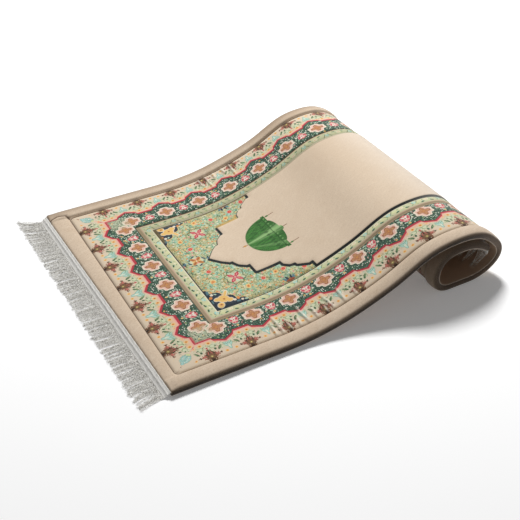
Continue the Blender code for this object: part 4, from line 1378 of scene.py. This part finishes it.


# %% [markdown]
# The field has a dark outline, which follows the stored distance to the arch,
# so it stays on the step of the quilting all the way round. Beside the far
# side's level step an ochre painted shade lies in its place.

# %% Outline of the arch
def arch_line(board, paint, u, y, inner):
    """The dark outline of the field, thin where the far side's step faces away, with ochre painted shade
    beside the far level step.
    """
    edge = stored(board, "arch")
    steps = board.band(u, 337.0, 352.0, 1.5) * board.rise(y, 58.0, 62.0)
    steps = steps + board.band(u, 459.0, 475.0, 1.5) * board.rise(y, 138.0, 142.0)
    thin = board.rise(y, -4.0, 2.0) * (1.0 - board.low(steps, 1.0)) * 3.6
    line = board.rise(edge + 4.6 - thin, -0.7, 0.7) * board.rise(edge, 1.9, 0.5)
    # painted shade: ochre beside the far side's level step, where the outline is left out
    ledge_shade_zone = board.band(y, 84.0, 112.0, 2.0) * board.band(u, 346.0, 406.0, 2.0)
    paint = board.mix(paint, OCHRE, ledge_shade_zone * board.band(edge, -9.0, 1.0, 2.5) * inner * 0.8)
    return board.mix(paint, OUTLINE, line * inner * (1.0 - ledge_shade_zone))


# %% [markdown]
# The print is laid on in order, from the outer seam inward, then the stitching
# over it, and last the painted shade and highlights on the pile.

# %% Dress the velvet
FIELD_LIGHT = ink(236, 216, 190)


def velvet_material():
    board = PatternBoard("printed_velvet")
    u, y, flat = flat_cloth(board)
    plain = plain_pile(board, flat, u, y)
    inset, phase, across, corner, panel = border_places(board, u, y)
    seam = stored(board, "seam")
    paint = board.mix(plain, CREAM, board.rise(seam, 0.0, 0.8))
    # the drawing wanders a little with the pile
    wander = board.noise(flat, 3.2, detail=1.0) - 0.5
    drawn = inset + wander * 3.0
    beside = abs(phase + wander * 2.0)
    paint = cream_border(board, paint, drawn, beside, across, flat)
    paint = corner_buds(board, paint, inset + wander * 5.0, corner - wander * 5.0, flat)
    paint = sprigs(board, paint, drawn, beside, flat)
    paint = board.mix(plain, paint, board.rise(seam, -1.2, -0.2))
    band = medallion_band(board, paint, inset + wander * 1.6, abs(phase + wander * 1.2), corner, flat)
    paint = board.mix(paint, band, board.rise(inset, 30.0, 31.0))
    paint = strip(board, paint, panel, u, y, across, flat)
    inner_seam = (STRIP_INSET + STRIP_WIDTH) * MM
    inner = board.rise(panel, inner_seam + 0.2, inner_seam + 0.8)
    panels = corner_panels(board, flat, u + wander * 2.0, y + wander * 2.0)
    paint = board.mix(paint, panels, inner)
    edge = stored(board, "arch")
    light = board.mix(plain, FIELD_LIGHT, 0.28)
    paint = board.mix(paint, light, inner * board.rise(edge, -0.6, 0.4))
    paint = arch_line(board, paint, u, y, inner)
    paint = inner_edges(board, paint, panel, u, y)
    paint = lamp(board, paint, u, y, flat)
    # stitching in the outer seams
    tucked = board.rise(stored(board, "tuck"), 2.4, 1.2)
    stitch = board.high(board.band(seam, -1.6, 0.5, 0.6), tucked)
    paint = board.mix(paint, BROWN_SEAM, stitch * 0.85)
    paint = painted_pile_shade_and_highlight(board, paint, u, y, panel)
    paint = pile_tips_and_painted_pucker_light(board, paint, flat)
    grain = board.noise(flat, 0.9, detail=2.0) * 0.6 + board.noise(flat, 3.5, detail=1.0) * 0.4
    board.bump(grain, 0.0009, 0.55)
    return board.finish(paint, 0.92, 0.5, 0.30, (1.0, 0.99, 0.97, 1.0))


velvet.data.materials.append(velvet_material())
print("nodes in the velvet:", len(velvet.data.materials[0].node_tree.nodes))

# %% [markdown]
# ## The woven underside
# A thin sheet under the pad. It shows inside the roll and under the wave. It
# is made as the pad is, from rings of points on the same line, so that the two
# stay together all the way round. Its weave is drawn with two sines.

# %% Build the backing
BACK_THICK = 0.0012
BACK_Y = mirrored(graded(((0.0, 0.020), (0.330, 0.006), (0.3465, 0))))
BACK_ROWS = graded(((CLOTH_START + 0.001, 0.010), (0.50, 0.006), (CLOTH_END - 0.001, 0)))
BACK_SECTION = [(y, 0.0) for y in BACK_Y] + [(y, BACK_THICK) for y in reversed(BACK_Y)]
BACK_WAY = np.array(BACK_SECTION)


def backing_place(station, column):
    y = BACK_WAY[column, 0]
    return cloth_to_space(straight_across(station, y), y, BACK_WAY[column, 1])


def backing_flat(station, column):
    y = BACK_WAY[column, 0]
    return np.stack(np.broadcast_arrays(straight_across(station, y), y), axis=-1)


backing, _ = ring_mesh("rug_backing", BACK_ROWS, BACK_SECTION, backing_place, backing_flat)
face_outward(backing)
print("backing:", len(backing.data.polygons), "faces")

# %% [markdown]
# The yarns of the backing are under a millimetre apart, brown and tan, and its
# edge is worn pale where it shows round the roll.

# %% Dress the backing
YARN = 0.9


def backing_material():
    board = PatternBoard("woven_backing")
    u, y, flat = flat_cloth(board)
    warp = board.number("SINE", u * (math.pi / YARN))
    weft = board.number("SINE", y * (math.pi / YARN))
    weave = warp * weft * 0.5 + 0.5
    cloud = board.noise(flat, 18.0, detail=3.0)
    paint = board.mix(ink(156, 128, 104), ink(190, 164, 140), weave * 0.7 + cloud * 0.3)
    worn = board.rise(abs(y) + cloud * 4.0, 346.0, 347.5)
    paint = board.mix(paint, ink(204, 190, 174), worn * 0.8)
    board.bump(weave, 0.0004, 0.6)
    return board.finish(paint, 0.95, 0.1)


backing.data.materials.append(backing_material())

# %% [markdown]
# ## The fringes
# Each end has a grey woven tape, folded over once, and a row of fine crimped
# cotton threads that cling together in locks. Hair particles could grow them,
# but each thread here is a thin tube of three sides along its own path, so its
# length, lock and crimp are known, and the same numbers give the same fringe.

# %% Build a row of threads
def threads(name, paths, thickness, sides=3):
    """Thin tubes along paths, an array of threads by stations by 3."""
    count, stations, _ = paths.shape
    way = np.gradient(paths, axis=1)
    way /= np.linalg.norm(way, axis=2, keepdims=True)
    side = np.cross(way, (0.0, 0.0, 1.0))
    side /= np.linalg.norm(side, axis=2, keepdims=True) + 1e-9
    up = np.cross(side, way)
    taper = np.linspace(1.0, 0.55, stations)[None, :, None] * thickness[:, None, None]
    around = []
    for k in range(sides):
        angle = 2.0 * math.pi * k / sides + 0.5
        around.append(paths + (side * math.cos(angle) + up * math.sin(angle)) * taper)
    points = np.stack(around, axis=2)
    points[..., 2] = np.maximum(points[..., 2], 0.00015)
    index = np.arange(count * stations * sides).reshape(count, stations, sides)
    ahead = np.roll(index, -1, axis=2)
    quads = np.stack([index[:, :-1], ahead[:, :-1], ahead[:, 1:], index[:, 1:]], axis=-1)
    faces = quads.reshape(-1, 4).tolist()
    faces += index[:, 0, ::-1].tolist() + index[:, -1].tolist()
    mesh = bpy.data.meshes.new(name)
    mesh.from_pydata(points.reshape(-1, 3).tolist(), [], faces)
    shade = np.repeat(np.linspace(0.0, 1.0, stations)[None, :, None], count, axis=0)
    shade = np.broadcast_to(shade, (count, stations, sides)).ravel().astype(np.float32)
    mesh.attributes.new("reach", "FLOAT", "POINT").data.foreach_set("value", shade)
    thing = bpy.data.objects.new(name, mesh)
    bpy.context.scene.collection.objects.link(thing)
    face_outward(thing, 180)
    return thing


def locked(chance, count, half, lock_pitch):
    """Places of threads across the rug and of the lock each clings to."""
    root = np.linspace(-half + 0.0006, half - 0.0006, count) + chance.normal(0, 0.00022, count)
    edges = [-half]
    while edges[-1] < half:
        edges.append(edges[-1] + lock_pitch * chance.uniform(0.55, 1.5))
    edges = np.array(edges)
    number = np.clip(np.searchsorted(edges, root) - 1, 0, len(edges) - 2)
    middle = 0.5 * (edges[number] + edges[number + 1]) + chance.normal(0, 0.0008, len(edges))[number]
    return root, middle, number


def fan(y):
    """How far a front thread's tip leans sideways."""
    far = 0.034 * np.exp(-np.maximum(HALF_WIDTH - y, 0.0) / 0.055)
    return far - 0.013 * np.exp(-np.maximum(HALF_WIDTH + y, 0.0) / 0.070)


FRINGE_HALF = HALF_WIDTH - 0.0035
FRONT_LENGTH = 0.0535
FRONT_OUT = 0.0145
LOCK_PITCH = 0.0062

# %% [markdown]
# The front threads lie on the floor. Toward the far corner they fan out, and
# each lock has its own length, lean and crimp.

# %% Build the front threads
def front_threads(count=1400, stations=17):
    chance = np.random.default_rng(7)
    root, middle, number = locked(chance, count, FRINGE_HALF, LOCK_PITCH)
    t = np.linspace(0.0, 1.0, stations)[None, :]
    uneven = chance.normal(0, 0.035, count) + chance.normal(0, 0.025, number.max() + 1)[number]
    length = FRONT_LENGTH * (1.0 + uneven)[:, None]
    cling = chance.uniform(0.14, 0.50, count)[:, None] * ramp(t, 0.05, 0.8)
    y = root[:, None] + (middle - root)[:, None] * cling
    y = y + fan(root)[:, None] * t**1.7
    sway = chance.normal(0, 0.0010, number.max() + 1)[number][:, None]
    y = y + sway * np.sin(t * 2.6) + chance.normal(0, 0.0009, count)[:, None] * t**2
    turns = chance.uniform(8.0, 12.0, count)[:, None]
    start = chance.uniform(0, 6.28, number.max() + 1)[number][:, None]
    start = start + chance.normal(0, 0.7, count)[:, None]
    y = y + 0.00042 * np.sin(t * turns * 3.4 + start) * ramp(t, 0.0, 0.1)
    z = 0.00115 + 0.0008 * np.sin(t * turns * 2.7 + start * 1.7) * ramp(t, 0.0, 0.1)
    z = z + 0.0016 * chance.uniform(0, 1, count)[:, None] ** 3 * np.sin(t * 3.0)
    x = CLOTH_START - END_SKEW * root[:, None] - FRONT_OUT - (length - 0.001 + 0.016 - FRONT_OUT) * t
    paths = np.stack([x - MIDDLE_X, y - MIDDLE_Y, z], axis=-1)
    return threads("front_threads", paths, chance.uniform(0.00030, 0.00044, count))


front_row = front_threads()
print("front threads:", len(front_row.data.polygons), "faces")

# %% [markdown]
# The front tape slopes from the end of the cloth down to the floor. It is
# folded, which leaves a soft ridge along its middle.

# %% Build the front tape
TAPE_TOP = (
    (0.0003, 0.0108), (0.0012, 0.0112), (0.0024, 0.0104), (0.0040, 0.0094), (0.0058, 0.0083),
    (0.0068, 0.0083), (0.0078, 0.0078), (0.0088, 0.0064), (0.0104, 0.0047), (0.0124, 0.0034),
    (0.0142, 0.0026), (0.0156, 0.0021), (0.0162, 0.0012),
)
TAPE_LOW = ((0.0160, 0.0003), (0.0105, 0.0022), (0.0045, 0.0066), (0.0003, 0.0090))
TAPE = np.array(TAPE_TOP + TAPE_LOW)
TAPE_Y = np.linspace(-FRINGE_HALF, FRINGE_HALF, 330)


def tape_place(y, column):
    out = TAPE[column, 0] + 0.0003 * np.sin(y * 390.0) * np.sin(y * 61.0 + 1.0)
    z = TAPE[column, 1] + 0.00018 * np.sin(y * 220.0 + TAPE[column, 0] * 900.0)
    x = CLOTH_START - END_SKEW * y - out
    y, x, z = np.broadcast_arrays(y, x, z)
    return np.stack([x - MIDDLE_X, y - MIDDLE_Y, np.maximum(z, 0.0)], axis=-1)


def tape_flat(y, column):
    run = np.concatenate([[0.0], np.cumsum(np.hypot(*np.diff(TAPE, axis=0).T))])
    return np.stack(np.broadcast_arrays(run[column], y), axis=-1)


front_tape, _ = ring_mesh("front_tape", TAPE_Y, TAPE, tape_place, tape_flat)
face_outward(front_tape)
print("front tape:", len(front_tape.data.polygons), "faces")

# %% [markdown]
# The rear tape hangs from the wound end inside the roll, turning down and back
# in a few straight steps.

# %% Build the rear tape
def walk(start, steps):
    """Places reached from a start by steps of a length and a heading."""
    places = [start]
    for length, degrees in steps:
        x, z = places[-1]
        turn = math.radians(degrees)
        places.append((x + length * math.cos(turn), z + length * math.sin(turn)))
    return np.array(places)


REAR_HALF = HALF_WIDTH - 0.006
REAR_LENGTH = 0.050
end_x, end_z, end_way = LINE[1][-1], LINE[2][-1], LINE[3][-1]
REAR_START = (
    end_x + 0.0004 * math.cos(end_way) - 0.0050 * math.sin(end_way),
    end_z + 0.0004 * math.sin(end_way) + 0.0050 * math.cos(end_way),
)
REAR_TAPE = walk(REAR_START, ((0.0050, -55.0), (0.0060, -80.0), (0.0050, -100.0)))
REAR_LOCKS = walk(tuple(REAR_TAPE[-1]), (
    (0.36 * REAR_LENGTH, -114.0), (0.34 * REAR_LENGTH, -132.0), (0.30 * REAR_LENGTH, -150.0),
))


def tape_ring(line, half):
    """Points both sides of a line, out along one side and back on the other."""
    way = np.gradient(line, axis=0)
    way /= np.linalg.norm(way, axis=1, keepdims=True)
    side = np.stack([way[:, 1], -way[:, 0]], axis=1) * half
    return np.concatenate([line + side, (line - side)[::-1]])


REAR_RING = tape_ring(REAR_TAPE, 0.0008)
REAR_Y = np.linspace(-REAR_HALF, REAR_HALF, 160)


def rear_tape_place(y, column):
    x, z = REAR_RING[column, 0], REAR_RING[column, 1]
    y, x, z = np.broadcast_arrays(y, x, z)
    return np.stack([x - MIDDLE_X, y - MIDDLE_Y, z], axis=-1)


def rear_tape_flat(y, column):
    return np.stack(np.broadcast_arrays(column * 0.004, y), axis=-1)


rear_tape, _ = ring_mesh("rear_tape", REAR_Y, REAR_RING, rear_tape_place, rear_tape_flat)
face_outward(rear_tape)
print("rear tape:", len(rear_tape.data.polygons), "faces")

# %% [markdown]
# The rear threads hang on from the tape. They are fewer and looser than the
# front ones, as nothing has pressed them flat.

# %% Build the rear threads
REAR_LOCK_PITCH = 0.0085


def rear_threads(count=430, stations=13):
    chance = np.random.default_rng(11)
    root, middle, number = locked(chance, count, REAR_HALF, REAR_LOCK_PITCH)
    line = np.concatenate([REAR_TAPE[-2:-1] * 0.2 + REAR_TAPE[-1:] * 0.8, REAR_LOCKS[1:]])
    run = np.concatenate([[0.0], np.cumsum(np.hypot(*np.diff(line, axis=0).T))])
    t = np.linspace(0.0, 1.0, stations)[None, :]
    shorter = np.minimum(np.abs(chance.normal(0, 0.14, count)), 0.4)
    reach = run[-1] * (1.0 - shorter)[:, None] * t
    x = np.interp(reach, run, line[:, 0])
    z = np.interp(reach, run, line[:, 1])
    cling = chance.uniform(0.3, 0.8, count)[:, None] * ramp(t, 0.02, 0.5)
    y = root[:, None] + (middle - root)[:, None] * cling
    sway = chance.normal(0, 0.0035, number.max() + 1)[number][:, None]
    wave = chance.uniform(0, 6.28, count)[:, None]
    sway = sway + chance.normal(0, 0.0022, count)[:, None]
    y = y + sway * t**1.5 + 0.0006 * np.sin(t * 34.0 + wave) * ramp(t, 0.0, 0.1)
    x = x + 0.0018 * np.sin(number * 1.3)[:, None] * t + 0.0005 * np.sin(t * 25.0 + wave)
    paths = np.stack([x - MIDDLE_X, y - MIDDLE_Y, z], axis=-1)
    return threads("rear_threads", paths, chance.uniform(0.00032, 0.00046, count))


rear_row = rear_threads()
print("rear threads:", len(rear_row.data.polygons), "faces")

# %% [markdown]
# Cotton is dull and pale grey. On the threads a small noise, stretched across
# them, gives the crimps, and on the tape two sines give its weave.

# %% Dress the fringes
def thread_material():
    board = PatternBoard("grey_cotton_thread")
    place = Wire(board, board.node("ShaderNodeTexCoord").outputs["Object"])
    crimped = board.shift(place, 0.0, 0.0, turn=4.0, scale=(0.55, 1.6, 1.0))
    tone = board.noise(crimped, 0.0024, detail=2.0)
    broad = board.noise(place, 0.012, detail=2.0)
    paint = board.mix(ink(174, 170, 162), ink(255, 253, 247), board.rise(tone, 0.38, 0.56))
    paint = board.mix(paint, ink(190, 187, 180), board.rise(broad, 0.55, 0.75) * 0.35)
    return board.finish(paint, 0.9, 0.3)


def tape_material():
    board = PatternBoard("grey_woven_tape")
    u, y, flat = flat_cloth(board)
    weft = board.number("SINE", y * (math.pi / 0.75)) * 0.5 + 0.5
    warp = board.number("SINE", u * (math.pi / 0.8)) * 0.5 + 0.5
    weave = weft * 0.6 + warp * 0.4
    paint = board.mix(ink(210, 207, 201), ink(255, 253, 248), weave)
    cloud = board.noise(flat, 9.0, detail=2.0)
    paint = board.mix(paint, ink(176, 172, 168), board.rise(cloud, 0.5, 0.75) * 0.3)
    board.bump(weave, 0.0005, 0.7)
    return board.finish(paint, 0.92, 0.1)


cotton = thread_material()
woven = tape_material()
for thing, material in ((front_row, cotton), (rear_row, cotton), (front_tape, woven), (rear_tape, woven)):
    thing.data.materials.append(material)
print("materials:", sorted(material.name for material in bpy.data.materials if material.users))

# %% [markdown]
# ## Riding and standing in
# Every new piece rides on the one body and stands for its measured node.

# %% Connect the pieces to the measured model
for thing, node, place in (
    (velvet, "rug_pad", "velvet"),
    (backing, "backing_sheet", "backing"),
    (front_tape, "front_fringe", "fringe"),
    (front_row, "front_fringe", "fringe"),
    (rear_tape, "rear_fringe", "fringe"),
    (rear_row, "rear_fringe", "fringe"),
):
    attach(thing, "root")
    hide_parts(node)
print("cloths:", velvet.name, "on", backing.name, "on the floor")

# %% [markdown]
# ## Floor, light and camera
# A white floor, one broad light from behind on the right and an even pale sky,
# as for a plain catalogue picture. The floor glows a little, so it stays white.

# %% Floor
bpy.ops.mesh.primitive_plane_add(size=14.0, location=(0.0, 0.0, -0.0004))
floor = bpy.context.active_object
floor.name = "floor"
board = Board("white_floor")
floor.data.materials.append(board.finish(ink(247, 247, 247), 1.0))
board.shader.inputs["Emission Color"].default_value = (1.0, 1.0, 1.0, 1.0)
board.shader.inputs["Emission Strength"].default_value = 0.14
print("floor:", round(floor.dimensions.x, 1), "m wide")

# %% Light
LIGHT_PLACE = (1.3, 2.0, 3.25)
light = bpy.data.lights.new("key_light", "AREA")
light.shape = "DISK"
light.size = 1.15
light.energy = 196.0
light_object = bpy.data.objects.new("key_light", light)
light_object.location = LIGHT_PLACE
light_object.rotation_euler = (-Vector(LIGHT_PLACE)).to_track_quat("-Z", "Y").to_euler()
bpy.context.scene.collection.objects.link(light_object)
world = bpy.data.worlds.new("studio")
world.use_nodes = True
world.node_tree.nodes["Background"].inputs[0].default_value = (1.0, 1.0, 1.0, 1.0)
world.node_tree.nodes["Background"].inputs[1].default_value = 0.15
bpy.context.scene.world = world
bpy.context.scene.view_settings.view_transform = "Standard"
print("light:", light.energy, "W,", round(Vector(LIGHT_PLACE).length, 2), "m away")

# %% [markdown]
# The camera stands where the seams and the border's repeats fall as they do in
# the picture: its place, turn, tilt, slight roll and focal length in pixels.

# %% Camera
CAMERA_PLACE = (-0.806802, -1.4409531, 1.208139)
CAMERA_TURN = 1.0459556
CAMERA_DOWN = 0.6468389
CAMERA_ROLL = 0.016735
FOCAL_PIXELS = 852.62
PICTURE_PIXELS = 520.0
SENSOR = 36.0
forward = Vector((
    math.cos(CAMERA_TURN) * math.cos(CAMERA_DOWN),
    math.sin(CAMERA_TURN) * math.cos(CAMERA_DOWN),
    -math.sin(CAMERA_DOWN),
))
level = Vector((math.sin(CAMERA_TURN), -math.cos(CAMERA_TURN), 0.0))
above = level.cross(forward)
right = level * math.cos(CAMERA_ROLL) + above * math.sin(CAMERA_ROLL)
above = above * math.cos(CAMERA_ROLL) - level * math.sin(CAMERA_ROLL)
camera_data = bpy.data.cameras.new("camera")
camera_data.sensor_width = SENSOR
camera_data.lens = FOCAL_PIXELS / PICTURE_PIXELS * SENSOR
camera = bpy.data.objects.new("camera", camera_data)
camera.matrix_world = Matrix((
    (right.x, above.x, -forward.x, CAMERA_PLACE[0]),
    (right.y, above.y, -forward.y, CAMERA_PLACE[1]),
    (right.z, above.z, -forward.z, CAMERA_PLACE[2]),
    (0.0, 0.0, 0.0, 1.0),
))
bpy.context.scene.collection.objects.link(camera)
bpy.context.scene.camera = camera
print("lens:", round(camera_data.lens, 1), "mm")

# %% [markdown]
# ## Finish
# The dressed rug has to keep the size of the measured model.

# %% Finish
bpy.context.view_layer.update()
